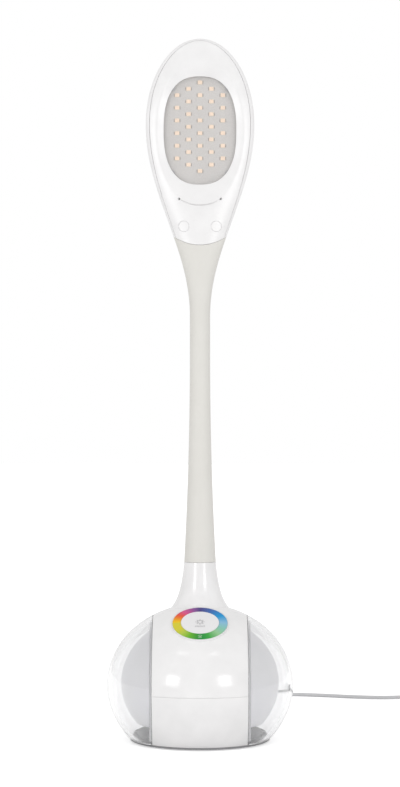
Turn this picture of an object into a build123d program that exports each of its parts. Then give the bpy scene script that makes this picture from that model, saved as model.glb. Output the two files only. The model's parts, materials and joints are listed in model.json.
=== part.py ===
"""An LED desk lamp: a spoon-shaped head on a sleeved gooseneck, over an egg-shaped base with two domes.

+Z is up, the front faces -Y, and the origin is at the middle of the underside. Sizes are in millimetres.
"""

import math
import os

from build123d import *

os.makedirs("parts", exist_ok=True)

# ---- Driving dimensions -------------------------------------------------------------------------
# Base: a spheroid with its underside cut flat. A white band goes over it, between two clear domes.
base_radius = 65.0
base_half_height = 56.0
base_centre_z = 39.0
band_half_width = 32.6
shell_wall = 2.4
shell_bottom_z = 2.2
seam_z = 38.0
seam_gap = 0.3
tongue_height = 2.2
tongue_wall = 1.0
fit = 0.15

clear_wall = 2.8
dome_gap = 0.4
frosted_side_gap = 10.1
frosted_top_gap = 9.3
frosted_centre_z = 40.4
frosted_bottom_z = 13.5
frosted_wall = 1.8
frame_thickness = 4.0
frame_lip = 1.2
frame_hole_radius = 5.0
mood_board_radius = 24.0
mood_board_thickness = 1.2
mood_led_count = 6
mood_led_circle = 16.0
mood_led_size = 5.0
mood_led_height = 1.4

plate_bottom_z = 0.8
plate_gap = 0.62
plate_top_z = 6.0
foot_radius = 6.0
foot_height = 1.6
foot_edge = 2.3
ballast_side_gap = 3.0
ballast_height = 12.0
ballast_rim_wall = 2.2
ballast_rim_height = 4.0
post_edge = 4.0
post_radius = 3.2
control_board_z = 21.0
board_side_gap = 1.8
board_boss_gap = 3.4
chip_places = [(-12.0, 6.0), (10.0, -8.0)]
chip_side = 12.0
capacitor_place = (12.0, 14.0)
capacitor_radius = 5.0
component_height = 6.0
board_thickness = 1.6
screw_radius = 1.4
screw_head_radius = 2.7
screw_head_height = 1.8
boss_edge = 3.0
boss_angle = 57.85
boss_radius = 3.6
boss_height = 18.0
screw_clearance = 0.12
rail_wall = 1.6
rail_gap = 0.8

# Touch ring, on the band's upper front
ring_y = -35.0
ring_radius = 18.8
ring_inner_radius = 13.2
ring_gap = 0.2
button_radius = 13.0
touch_thickness = 1.25
touch_seat_gap = 0.05
touch_board_radius = 17.5
touch_board_depth = 5.4
stake_radius = 0.9
stake_boss_radius = 1.8
stake_circle = 13.5
stake_count = 3
stake_height = 2.2

# Collar and neck
neck_y = 6.0
collar_top_z = 124.0
collar_waist_z = 104.3
collar_waist_radius = 14.3
collar_foot_z = 89.2
collar_foot_radius = 22.0
collar_boss_z = 86.0
socket_radius = 9.2
socket_floor_z = 110.0
flange_gap = 1.6
sleeve_root_radius = 11.1
sleeve_waist_radius = 7.1
sleeve_waist_drop = 28.0
sleeve_bore_gap = 0.2
core_radius = 4.8
core_bore = 2.0
nut_across_flats = 16.0
nut_height = 5.0
head_thread_radius = 3.2
head_nut_across_flats = 9.0
pocket_half_width = 7.0
pocket_height = 15.0
thread_length = 9.0
thread_end = 2.8

# Bends: the gooseneck is cut into short stretches, seated in each other like balls in sockets.
bend_count = 12
bend_margin = 9.0
ball_angle = 60.0
ball_gap = 0.3

# Head: half a cosine wave from the neck to the widest height, and half an ellipse above it
head_wide_z = 430.0
head_flare_height = 134.0
head_crown_height = 60.2
head_half_width = 38.0
head_back_depth = 13.0
head_front_depth = 6.9
head_tip_power = 2.7
flare_steps = 6
crown_angles = (22, 42, 58, 70, 79, 87)
outline_steps = 20
head_wall = 2.0
parting_y = 3.5
parting_gap = 0.15
lower_lip_radius = 30.7
lower_lip_drop = 84.6
lip_gap = 0.2
spigot_depth = 7.4
spigot_inset = 2.3
cavity_rise = 10.6

dish_front_y = -2.5
dish_front_half_width = 47.7
dish_front_half_height = 56.1
dish_drop = 2.8
bowl_half_width = 30.0
bowl_half_height = 46.0
bowl_root = 0.6
window_half_width = 25.4
window_half_height = 37.8
window_drop = 4.3
window_power = 2.5
window_edge_y = 3.2
window_seat_y = 4.1
window_rebate = 1.4
window_thickness = 1.0
bowl_back_y = 5.2
slot_radius = 25.7
slot_drop = 26.9
slot_half_chord = 14.6
slot_width = 1.2
slot_floor_y = 1.2
led_board_y = 6.6
led_board_margin = 3.2
led_column_pitch = 8.0
led_row_pitch = 8.86
led_rise = 2.9
led_columns = {-2: 6, -1: 7, 0: 8, 1: 7, 2: 6}
led_width = 3.2
led_height = 2.8
led_thickness = 0.8
led_post_x = 20.0
led_post_z = 30.0
led_post_radius = 2.6
plug_x = 11.35
plug_rise = 13.0
plug_radius = 3.75
plug_floor_y = 1.6
plug_gap = 0.1
head_screw_head_height = 1.15
head_screw_end_y = 11.5
head_boss_radius = 3.2

# Lead, put-away coil and adapter
lead_diameter = 2.8
lead_exit_z = 16.0
gland_radius = 7.2
gland_rise = 1.34
gland_depth = 10.6
relief_radius = 4.0
relief_flange_radius = 5.8
relief_flange = 1.5
relief_root_radius = 4.4
relief_tip_radius = 2.2
seat_gap = 0.1
lead_points = [
    (0.0, 82.0, lead_exit_z),
    (0.0, 94.0, lead_exit_z),
    (0.6, 108.0, 12.6),
    (1.8, 123.0, 5.0),
    (3.6, 141.0, 1.5),
    (8.5, 164.0, 1.5),
    (20.0, 190.0, 1.5),
    (39.0, 213.5, 1.5),
    (66.0, 225.0, 1.5),
    (94.0, 219.5, 1.5),
    (121.0, 209.0, 1.5),
    (147.0, 201.5, 1.8),
    (168.0, 203.0, 2.6),
    (184.0, 203.0, 2.6),
]
coil_x = 198.0
coil_y = 182.0
coil_low_z = 2.6
coil_outer_radius = 21.0
coil_pitch = 3.9
coil_rise = 3.5
coil_layers = 4
half_turns_per_layer = 5
coil_tail = 14.0
tie_width = 5.0
tie_wall = 0.6
tie_gap = 0.5
tie_corner_extra = 0.1
adapter_length = 62.0
adapter_width = 36.0
adapter_height = 26.0
adapter_corner = 4.0
adapter_neck = 9.0
pin_radius = 2.0
pin_length = 19.0
pin_spacing = 19.0

# ---- What follows from them ---------------------------------------------------------------------
frame_outer_x = band_half_width + frame_lip
frame_inner_x = frame_outer_x - frame_thickness
clear_rim_x = band_half_width + dome_gap
ring_depth_ratio = math.sqrt(1 - (ring_y / base_radius) ** 2)
ring_z = base_centre_z + base_half_height * ring_depth_ratio
ring_normal = (0, ring_y / base_radius**2, (ring_z - base_centre_z) / base_half_height**2)
ring_plane = Plane(origin=(0, ring_y, ring_z), x_dir=(1, 0, 0), z_dir=ring_normal)

head_root_z = head_wide_z - head_flare_height
head_top_z = head_wide_z + head_crown_height
sleeve_waist_z = head_root_z - sleeve_waist_drop
first_bend_z = collar_top_z + bend_margin
bend_pitch = (head_root_z - bend_margin - first_bend_z) / (bend_count - 1)
bend_heights = [first_bend_z + bend_pitch * i for i in range(bend_count)]
core_hole_radius = core_radius + sleeve_bore_gap

lower_lip_z = head_wide_z - lower_lip_drop
lip_centre_z = lower_lip_z + lower_lip_radius
spigot_bottom_z = lower_lip_z - spigot_depth
cavity_bottom_z = lower_lip_z + cavity_rise
pocket_top_z = cavity_bottom_z + pocket_height
plug_z = lower_lip_z + plug_rise
window_centre_z = head_wide_z - window_drop
dish_front_centre_z = window_centre_z - dish_drop
slot_centre_z = window_centre_z - slot_drop
led_centre_z = window_centre_z + led_rise

lead_radius = lead_diameter / 2
neck_axis = Axis((0, neck_y, 0), (0, 0, 1))
neck_plane = Plane.XZ.offset(-neck_y)
far = 4 * base_radius


# ---- Shapes that several pieces share -----------------------------------------------------------
base_egg = (base_radius, base_half_height, base_centre_z)
frosted_egg = (base_radius - frosted_side_gap, base_half_height - frosted_top_gap, frosted_centre_z)


def spheroid(egg=base_egg, inset=0.0, mode=Mode.ADD):
    """A spheroid about the base's axis, drawn in evenly by inset."""
    radius, half_height, centre_z = egg
    with BuildSketch(Plane.XZ) as profile:
        with BuildLine():
            arc = EllipticalCenterArc(
                (0, centre_z), radius - inset, half_height - inset, -90, arc_size=180
            )
            Line(arc @ 1, arc @ 0)
        make_face()
    revolve(profile.sketch, axis=Axis.Z, mode=mode)


def egg_radius(z, inset=0.0):
    """The base's radius at one height, drawn in by inset."""
    return (base_radius - inset) * math.sqrt(1 - ((z - base_centre_z) / (base_half_height - inset)) ** 2)


plate_radius = egg_radius(shell_bottom_z, clear_wall) - plate_gap
foot_circle = plate_radius - foot_radius - foot_edge
boss_x = (plate_radius - boss_edge) * math.cos(math.radians(boss_angle))
boss_y = (plate_radius - boss_edge) * math.sin(math.radians(boss_angle))
ballast_radius = frame_inner_x - ballast_side_gap
control_board_width = 2 * (frame_inner_x - board_side_gap)
control_board_depth = 2 * (boss_y - boss_radius - board_boss_gap)
post_x = control_board_width / 2 - post_edge
post_y = control_board_depth / 2 - post_edge
gland_outer_y = egg_radius(lead_exit_z) + gland_rise
gland_inner_y = gland_outer_y - gland_depth
gland_face = Plane(origin=(0, gland_outer_y, lead_exit_z), x_dir=(1, 0, 0), z_dir=(0, 1, 0))


def slab(low_x, high_x, low_z, high_z, mode=Mode.INTERSECT):
    """A block right across the base's depth, between two X and two Z values."""
    with BuildSketch(Plane.XY.offset(low_z)) as profile:
        with Locations(((low_x + high_x) / 2, 0)):
            Rectangle(high_x - low_x, far)
    extrude(profile.sketch, amount=high_z - low_z, mode=mode)


def column(plane, radius, height, mode=Mode.ADD):
    """A round column on a plane."""
    with BuildSketch(plane) as profile:
        Circle(radius)
    extrude(profile.sketch, amount=height, mode=mode)


def cosine_ramp(z, low_z, high_z):
    """0 at low_z, 1 at high_z, and half a cosine wave between them."""
    share = min(max((z - low_z) / (high_z - low_z), 0), 1)
    return (1 - math.cos(math.pi * share)) / 2


def sleeve_radius(z):
    """The sleeve narrows along a parabola to its waist, and then stays as thin up to the head."""
    share = max((sleeve_waist_z - z) / (sleeve_waist_z - collar_top_z), 0)
    return sleeve_waist_radius + (sleeve_root_radius - sleeve_waist_radius) * share**2


def head_section(z, inset):
    """The head's half width, back depth and front depth at one height, drawn in by inset."""
    ramp = cosine_ramp(z, head_root_z, head_wide_z)
    sizes = [
        sleeve_waist_radius + (size - sleeve_waist_radius) * ramp - inset
        for size in (head_half_width, head_back_depth, head_front_depth)
    ]
    share = max((z - head_wide_z) / (head_top_z - inset - head_wide_z), 0)
    round_tip = math.sqrt(1 - share**2)
    blunt_tip = (1 - share**head_tip_power) ** (1 / head_tip_power)
    return sizes[0] * round_tip, sizes[1] * blunt_tip, sizes[2] * blunt_tip


def head_form(inset=0.0, low_z=head_root_z, mode=Mode.ADD):
    """The head and its flare as one closed loft from low_z to the tip, drawn in by inset."""
    flare = [low_z + (head_wide_z - low_z) * i / flare_steps for i in range(flare_steps + 1)]
    crown = [
        head_wide_z + (head_top_z - inset - head_wide_z) * math.sin(math.radians(angle))
        for angle in crown_angles
    ]
    sections = []
    for z in flare + crown:
        wide, back, front = head_section(z, inset)
        with BuildSketch(Plane.XY.offset(z)) as section:
            with BuildLine():
                EllipticalCenterArc((0, neck_y), wide, back, 0, arc_size=180)
                EllipticalCenterArc((0, neck_y), wide, front, 180, arc_size=180)
            make_face()
        sections.append(section.sketch)
    loft(sections, mode=mode)


def superellipse(half_width, half_height, power, centre_z):
    """A rounded window outline on an upright plane: more square than an ellipse."""
    points = []
    for i in range(outline_steps):
        turn = 2 * math.pi * (i + 0.5) / outline_steps
        across = math.copysign(abs(math.cos(turn)) ** (2 / power), math.cos(turn))
        along = math.copysign(abs(math.sin(turn)) ** (2 / power), math.sin(turn))
        points.append((half_width * across, centre_z + half_height * along))
    with BuildLine() as outline:
        Spline(*points, periodic=True)
    make_face(outline.edges())


def upright(y):
    """The upright plane at one depth, seen from the front: its own X is X, its own Y is Z."""
    return Plane(origin=(0, y, 0), x_dir=(1, 0, 0), z_dir=(0, -1, 0))


def inside_lip(plane, margin, amount, mode):
    """What lies above the sleeve's upper edge, an arc seen from the front, on one side of a plane."""
    with BuildSketch(plane) as mask:
        with Locations((0, lip_centre_z)):
            Circle(lower_lip_radius + margin)
            Rectangle(far, far, align=(Align.CENTER, Align.MIN))
    extrude(mask.sketch, amount=amount, mode=mode)


def ball_radius(bend):
    """The ball at a bend reaches the sleeve's outside at ball_angle from the neck's axis."""
    return sleeve_radius(bend_heights[bend]) / math.sin(math.radians(ball_angle))


def ball_point(bend, clearance, radius):
    """A point of a bend's ball, drawn out by a clearance, at one radius from the neck's axis."""
    rise = math.sqrt((ball_radius(bend) + clearance) ** 2 - radius**2)
    return radius, bend_heights[bend] + rise


def rim_point(bend, clearance):
    """Where that ball meets the sleeve's outside."""
    rise = 0
    for _ in range(4):
        radius = sleeve_radius(bend_heights[bend] + rise)
        rise = ball_point(bend, clearance, radius)[1] - bend_heights[bend]
    return ball_point(bend, clearance, radius)


def ball_arc(bend, clearance, start, end):
    """The arc of a bend's ball between two of its points."""
    middle = ball_point(bend, clearance, (start[0] + end[0]) / 2)
    ThreePointArc(start, middle, end)


def neck_stretch(low_bend, inner_radius, outer_radius=None):
    """One stretch of the neck: a socket over the bend below, and a ball up to the bend above."""
    high_bend = low_bend + 1
    low_in = ball_point(low_bend, ball_gap, inner_radius)
    high_in = ball_point(high_bend, 0, inner_radius)
    if outer_radius:
        low_out = ball_point(low_bend, ball_gap, outer_radius)
        high_out = ball_point(high_bend, 0, outer_radius)
    else:
        low_out = rim_point(low_bend, ball_gap)
        high_out = rim_point(high_bend, 0)
    with BuildSketch(neck_plane) as profile:
        with BuildLine():
            ball_arc(low_bend, ball_gap, low_in, low_out)
            Line(low_out, high_out)
            ball_arc(high_bend, 0, high_out, high_in)
            Line(high_in, low_in)
        make_face()
    revolve(profile.sketch, axis=neck_axis)


def screw(plane, head_radius, head_height, length):
    """A screw whose head stands on a plane, with its shank going down from it."""
    column(plane, head_radius, head_height)
    column(plane, screw_radius, -length)


def finish(part, name):
    """Name a finished piece and write it."""
    part.label = name
    export_step(part, f"parts/{name}.step")


# ---- Base ---------------------------------------------------------------------------------------
with BuildPart() as shell_rebate:
    spheroid(inset=shell_wall - tongue_wall - fit)
    slab(-far, far, seam_z - tongue_height, seam_z + tongue_height + fit)

with BuildPart() as touch_recess:
    spheroid()
    spheroid(inset=touch_thickness + touch_seat_gap, mode=Mode.SUBTRACT)
    column(ring_plane.offset(-ring_radius), ring_radius + ring_gap, 2 * ring_radius, Mode.INTERSECT)

with BuildPart() as base_top_shell:
    spheroid()
    spheroid(inset=shell_wall, mode=Mode.SUBTRACT)
    slab(-band_half_width, band_half_width, seam_z + seam_gap / 2, collar_top_z)
    add(shell_rebate.part, mode=Mode.SUBTRACT)
    with BuildSketch(neck_plane):
        with BuildLine():
            top = (sleeve_root_radius, collar_top_z)
            foot = (collar_foot_radius, collar_foot_z)
            Spline(foot, (collar_waist_radius, collar_waist_z), top, tangents=[(-1, 1), (-0.1, 1)])
            low_edge = (collar_foot_radius, collar_boss_z)
            Polyline(top, (0, collar_top_z), (0, collar_boss_z), low_edge, foot)
        make_face()
    revolve(axis=neck_axis)
    column(Plane((0, neck_y, socket_floor_z)), socket_radius, far, Mode.SUBTRACT)
    column(Plane((0, neck_y, socket_floor_z)), core_radius + fit, -far, Mode.SUBTRACT)
    add(touch_recess.part, mode=Mode.SUBTRACT)
    with BuildSketch(ring_plane.offset(-touch_board_depth)):
        with PolarLocations(stake_circle, stake_count):
            Circle(stake_boss_radius)
    extrude(amount=stake_height)
    with BuildSketch(ring_plane.offset(-touch_board_depth)):
        with PolarLocations(stake_circle, stake_count):
            Circle(stake_radius)
    extrude(amount=-2 * board_thickness)
finish(base_top_shell.part, "base_top_shell")

with BuildPart() as shell_tongue:
    spheroid(inset=shell_wall - tongue_wall)
    spheroid(inset=shell_wall, mode=Mode.SUBTRACT)
    slab(-band_half_width, band_half_width, seam_z - tongue_height, seam_z + tongue_height)

with BuildPart() as shell_bosses:
    with BuildSketch(Plane.XY.offset(plate_top_z)):
        with GridLocations(2 * boss_x, 2 * boss_y, 2, 2):
            Circle(boss_radius)
        with Locations((-boss_x, boss_y), (boss_x, boss_y)):
            Rectangle(shell_wall, far, align=(Align.CENTER, Align.MIN))
        with Locations((-boss_x, -boss_y), (boss_x, -boss_y)):
            Rectangle(shell_wall, far, align=(Align.CENTER, Align.MAX))
    extrude(amount=boss_height)
    spheroid(inset=shell_wall / 2, mode=Mode.INTERSECT)

with BuildPart() as shell_rails:
    rail_x = frame_inner_x - fit
    rail_low_z = plate_top_z + ballast_rim_height + rail_gap
    rail_high_z = control_board_z - rail_gap
    spheroid(inset=shell_wall / 2)
    slab(-rail_x, rail_x, rail_low_z, rail_high_z)
    slab(rail_wall - rail_x, rail_x - rail_wall, rail_low_z, rail_high_z, Mode.SUBTRACT)

with BuildPart() as base_bottom_shell:
    spheroid()
    spheroid(inset=shell_wall, mode=Mode.SUBTRACT)
    slab(-band_half_width, band_half_width, shell_bottom_z, seam_z - seam_gap / 2)
    add(shell_tongue.part)
    add(shell_bosses.part)
    add(shell_rails.part)
    with BuildSketch(Plane.XY.offset(plate_top_z)):
        with GridLocations(2 * boss_x, 2 * boss_y, 2, 2):
            Circle(screw_radius + screw_clearance)
    extrude(amount=boss_height - shell_wall, mode=Mode.SUBTRACT)
    column(gland_face, gland_radius, gland_inner_y - gland_outer_y)
    column(gland_face, relief_flange_radius + fit, far, Mode.SUBTRACT)
    column(gland_face, relief_radius + fit, -gland_outer_y, Mode.SUBTRACT)
finish(base_bottom_shell.part, "base_bottom_shell")

with BuildPart() as frosted_cavity:
    spheroid(frosted_egg, inset=frosted_wall)
    slab(-far, far, frosted_bottom_z + frosted_wall, far)

for side, sign in (("left", -1), ("right", 1)):
    low_x, high_x = sorted((sign * frame_inner_x, sign * frame_outer_x))
    outward = Plane(origin=(sign * frame_outer_x, 0, frosted_centre_z), x_dir=(0, 1, 0), z_dir=(sign, 0, 0))

    with BuildPart() as side_frame:
        spheroid(inset=clear_wall + fit)
        slab(low_x, high_x, plate_top_z, far)
        column(outward, frame_hole_radius, -frame_thickness, Mode.SUBTRACT)
    finish(side_frame.part, f"side_frame_{side}")

    with BuildPart() as clear_dome:
        spheroid()
        spheroid(inset=clear_wall, mode=Mode.SUBTRACT)
        slab(-far, -clear_rim_x, shell_bottom_z, far)
    finish(clear_dome.part.rotate(Axis.Z, 90 * (1 + sign)), f"clear_dome_{side}")

    with BuildPart() as frosted_dome:
        spheroid(frosted_egg)
        add(frosted_cavity.part, mode=Mode.SUBTRACT)
        low_x, high_x = sorted((sign * frame_outer_x, sign * far))
        slab(low_x, high_x, frosted_bottom_z, far)
    finish(frosted_dome.part, f"frosted_dome_{side}")

    with BuildPart() as mood_board:
        column(outward, mood_board_radius, mood_board_thickness)
    finish(mood_board.part, f"mood_board_{side}")


with BuildPart() as mood_leds:
    for sign in (-1, 1):
        board_x = frame_outer_x + mood_board_thickness
        outward = Plane(origin=(sign * board_x, 0, frosted_centre_z), x_dir=(0, 1, 0), z_dir=(sign, 0, 0))
        with BuildSketch(outward):
            with PolarLocations(mood_led_circle, mood_led_count):
                Rectangle(mood_led_size, mood_led_size)
        extrude(amount=mood_led_height)
finish(mood_leds.part, "mood_leds")

with BuildPart() as base_plate:
    with BuildSketch(Plane.XZ):
        with BuildLine():
            Polyline(
                (0, plate_bottom_z),
                (egg_radius(plate_bottom_z) - fit, plate_bottom_z),
                (egg_radius(shell_bottom_z) - fit, shell_bottom_z),
                (plate_radius, shell_bottom_z),
                (plate_radius, plate_top_z),
                (0, plate_top_z),
                close=True,
            )
        make_face()
    revolve(axis=Axis.Z)
    with BuildSketch(Plane.XY.offset(plate_top_z)):
        Circle(ballast_radius + fit + ballast_rim_wall)
        Circle(ballast_radius + fit, mode=Mode.SUBTRACT)
    extrude(amount=ballast_rim_height)
    with BuildSketch(Plane.XY.offset(plate_top_z)):
        with GridLocations(2 * post_x, 2 * post_y, 2, 2):
            Circle(post_radius)
    extrude(amount=control_board_z - plate_top_z)
    with BuildSketch(Plane.XY.offset(control_board_z)):
        with GridLocations(2 * post_x, 2 * post_y, 2, 2):
            Circle(screw_radius + screw_clearance)
    extrude(amount=plate_top_z - control_board_z, mode=Mode.SUBTRACT)
    with BuildSketch(Plane.XY.offset(plate_bottom_z)):
        with GridLocations(2 * boss_x, 2 * boss_y, 2, 2):
            Circle(screw_radius + screw_clearance)
    extrude(amount=plate_top_z - plate_bottom_z, mode=Mode.SUBTRACT)
    with BuildSketch(Plane.XY.offset(plate_bottom_z)):
        with GridLocations(2 * boss_x, 2 * boss_y, 2, 2):
            Circle(screw_head_radius + screw_clearance)
    extrude(amount=screw_head_height + screw_clearance, mode=Mode.SUBTRACT)
    with BuildSketch(Plane.XY):
        with PolarLocations(foot_circle, 4, start_angle=45):
            Circle(foot_radius + fit)
    extrude(amount=foot_height, mode=Mode.SUBTRACT)
finish(base_plate.part, "base_plate")

with BuildPart() as rubber_feet:
    with BuildSketch(Plane.XY):
        with PolarLocations(foot_circle, 4, start_angle=45):
            Circle(foot_radius)
    extrude(amount=foot_height)
finish(rubber_feet.part, "rubber_feet")

with BuildPart() as ballast_plate:
    column(Plane.XY.offset(plate_top_z), ballast_radius, ballast_height)
finish(ballast_plate.part, "ballast_plate")

with BuildPart() as control_board:
    with BuildSketch(Plane.XY.offset(control_board_z)):
        RectangleRounded(control_board_width, control_board_depth, boss_radius)
        with GridLocations(2 * post_x, 2 * post_y, 2, 2):
            Circle(screw_radius + screw_clearance, mode=Mode.SUBTRACT)
    extrude(amount=board_thickness)
    with BuildSketch(Plane.XY.offset(control_board_z + board_thickness)):
        with Locations(chip_places):
            Rectangle(chip_side, chip_side)
        with Locations(capacitor_place):
            Circle(capacitor_radius)
    extrude(amount=component_height)
finish(control_board.part, "control_board")

with BuildPart() as base_screws:
    shank = screw_head_height + plate_top_z + boss_height / 2
    for x in (-boss_x, boss_x):
        for y in (-boss_y, boss_y):
            under = Plane(origin=(x, y, plate_bottom_z + screw_head_height), z_dir=(0, 0, -1))
            screw(under, screw_head_radius, screw_head_height, shank)
    for x in (-post_x, post_x):
        for y in (-post_y, post_y):
            over = Plane((x, y, control_board_z + board_thickness))
            screw(over, screw_head_radius, screw_head_height, boss_height / 2)
finish(base_screws.part, "base_screws")

with BuildPart() as touch_button:
    spheroid()
    spheroid(inset=touch_thickness, mode=Mode.SUBTRACT)
    column(ring_plane.offset(-ring_radius), button_radius, 2 * ring_radius, Mode.INTERSECT)
finish(touch_button.part, "touch_button")

with BuildPart() as colour_ring:
    spheroid()
    spheroid(inset=touch_thickness, mode=Mode.SUBTRACT)
    column(ring_plane.offset(-ring_radius), ring_radius, 2 * ring_radius, Mode.INTERSECT)
    column(ring_plane.offset(-ring_radius), ring_inner_radius, 2 * ring_radius, Mode.SUBTRACT)
finish(colour_ring.part, "colour_ring")

with BuildPart() as touch_board:
    with BuildSketch(ring_plane.offset(-touch_board_depth)):
        Circle(touch_board_radius)
        with PolarLocations(stake_circle, stake_count):
            Circle(stake_radius + fit, mode=Mode.SUBTRACT)
    extrude(amount=-board_thickness)
finish(touch_board.part, "touch_board")

# ---- Neck ---------------------------------------------------------------------------------------
collar_floor = Plane((0, neck_y, socket_floor_z))
thread_end_z = collar_boss_z - thread_length
ferrule_top_z = socket_floor_z + nut_height / 2

with BuildPart() as neck_nut:
    with BuildSketch(Plane((0, neck_y, collar_boss_z))):
        RegularPolygon(nut_across_flats / 2, 6, major_radius=False)
        Circle(core_radius + fit / 2, mode=Mode.SUBTRACT)
    extrude(amount=-nut_height)
finish(neck_nut.part, "neck_nut")

with BuildPart() as gooseneck_root:
    with BuildSketch(neck_plane):
        high_in, high_out = ball_point(0, 0, core_bore), ball_point(0, 0, core_radius)
        flange = socket_radius - flange_gap
        with BuildLine():
            ball_arc(0, 0, high_out, high_in)
            Polyline(
                high_in,
                (core_bore, thread_end_z),
                (core_radius, thread_end_z),
                (core_radius, socket_floor_z),
                (flange, socket_floor_z),
                (flange, ferrule_top_z),
                (core_radius, ferrule_top_z),
                high_out,
            )
        make_face()
    revolve(axis=neck_axis)
finish(gooseneck_root.part, "gooseneck_root")

with BuildPart() as sleeve_root:
    with BuildSketch(neck_plane):
        high_in, high_out = ball_point(0, 0, core_hole_radius), rim_point(0, 0)
        plug_end_z = ferrule_top_z + ball_gap
        with BuildLine():
            ball_arc(0, 0, high_out, high_in)
            Polyline(
                high_in,
                (core_hole_radius, plug_end_z),
                (socket_radius - fit, plug_end_z),
                (socket_radius - fit, collar_top_z + fit),
                (sleeve_root_radius, collar_top_z + fit),
                high_out,
            )
        make_face()
    revolve(axis=neck_axis)
finish(sleeve_root.part, "sleeve_root")

for stretch in range(1, bend_count):
    with BuildPart() as gooseneck:
        neck_stretch(stretch - 1, core_bore, core_radius)
    finish(gooseneck.part, f"gooseneck_{stretch}")

    with BuildPart() as sleeve:
        neck_stretch(stretch - 1, core_hole_radius)
    finish(sleeve.part, f"sleeve_{stretch}")

# ---- Head ---------------------------------------------------------------------------------------
head_bend = bend_count - 1
head_neck_top_z = cavity_bottom_z + nut_height + thread_end
parting_back_y = parting_y + parting_gap / 2
parting_front_y = parting_y - parting_gap / 2
plug_places = [(-plug_x, plug_z), (plug_x, plug_z)]
led_post_places = [
    (x, window_centre_z + z) for x in (-led_post_x, led_post_x) for z in (-led_post_z, led_post_z)
]

with BuildPart() as sleeve_flare:
    head_form()
    head_bend_z = bend_heights[head_bend]
    column(Plane((0, neck_y, head_bend_z)), sleeve_waist_radius, head_root_z - head_bend_z)
    with Locations((0, neck_y, head_bend_z)):
        Sphere(ball_radius(head_bend) + ball_gap, mode=Mode.SUBTRACT)
    inside_lip(upright(-far), lip_gap, -2 * far, Mode.SUBTRACT)
    head_form(spigot_inset - fit, spigot_bottom_z - fit, Mode.SUBTRACT)
    column(Plane((0, neck_y, 0)), core_hole_radius, far + cavity_bottom_z, Mode.SUBTRACT)
finish(sleeve_flare.part, "sleeve_flare")

with BuildPart() as gooseneck_head:
    with BuildSketch(neck_plane):
        low_in = ball_point(head_bend, ball_gap, core_bore)
        low_out = ball_point(head_bend, ball_gap, core_radius)
        with BuildLine():
            ball_arc(head_bend, ball_gap, low_in, low_out)
            Polyline(
                low_out,
                (core_radius, spigot_bottom_z - fit),
                (head_thread_radius, spigot_bottom_z - fit),
                (head_thread_radius, head_neck_top_z),
                (core_bore, head_neck_top_z),
                low_in,
            )
        make_face()
    revolve(axis=neck_axis)
finish(gooseneck_head.part, "gooseneck_head")

with BuildPart() as head_nut:
    with BuildSketch(Plane((0, neck_y, cavity_bottom_z))):
        RegularPolygon(head_nut_across_flats / 2, 6, major_radius=False)
        Circle(head_thread_radius + fit / 2, mode=Mode.SUBTRACT)
    extrude(amount=nut_height)
finish(head_nut.part, "head_nut")

with BuildPart() as head_spigot:
    head_form(spigot_inset, spigot_bottom_z)
    slab(-far, far, spigot_bottom_z, cavity_bottom_z)
    inside_lip(upright(parting_back_y), lip_gap, far, Mode.SUBTRACT)

with BuildPart() as head_posts:
    with BuildSketch(upright(led_board_y + board_thickness)):
        with Locations(led_post_places):
            Circle(led_post_radius)
    extrude(amount=-far)
    with BuildSketch(upright(parting_back_y)):
        with Locations(plug_places):
            Circle(head_boss_radius)
    extrude(amount=-far)
    head_form(head_wall / 2, spigot_bottom_z, Mode.INTERSECT)

with BuildPart() as head_rear_shell:
    head_form()
    inside_lip(upright(parting_back_y), 0, -far, Mode.INTERSECT)
    head_form(head_wall, cavity_bottom_z, Mode.SUBTRACT)
    add(head_spigot.part)
    add(head_posts.part)
    column(Plane((0, neck_y, 0)), head_thread_radius + fit, far + cavity_bottom_z, Mode.SUBTRACT)
    with BuildSketch(upright(parting_back_y)):
        with Locations(plug_places):
            Circle(screw_radius + screw_clearance)
    extrude(amount=parting_back_y - head_screw_end_y - fit, mode=Mode.SUBTRACT)
    with BuildSketch(upright(led_board_y + board_thickness)):
        with Locations(led_post_places):
            Circle(screw_radius + screw_clearance)
    extrude(amount=led_board_y - head_screw_end_y, mode=Mode.SUBTRACT)
finish(head_rear_shell.part, "head_rear_shell")

with BuildPart() as window_hole:
    with BuildSketch(upright(dish_front_y)) as dish_mouth:
        superellipse(dish_front_half_width, dish_front_half_height, 2, dish_front_centre_z)
    with BuildSketch(upright(window_edge_y)) as dish_floor:
        superellipse(window_half_width, window_half_height, window_power, window_centre_z)
    loft([dish_mouth.sketch, dish_floor.sketch])
    with BuildSketch(upright(window_edge_y)) as opening:
        superellipse(window_half_width, window_half_height, window_power, window_centre_z)
    extrude(opening.sketch, amount=window_edge_y - bowl_back_y)
    with BuildSketch(upright(window_seat_y)) as seat:
        seat_sizes = (window_half_width + window_rebate, window_half_height + window_rebate)
        superellipse(*seat_sizes, window_power, window_centre_z)
    extrude(seat.sketch, amount=window_seat_y - bowl_back_y)

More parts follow.
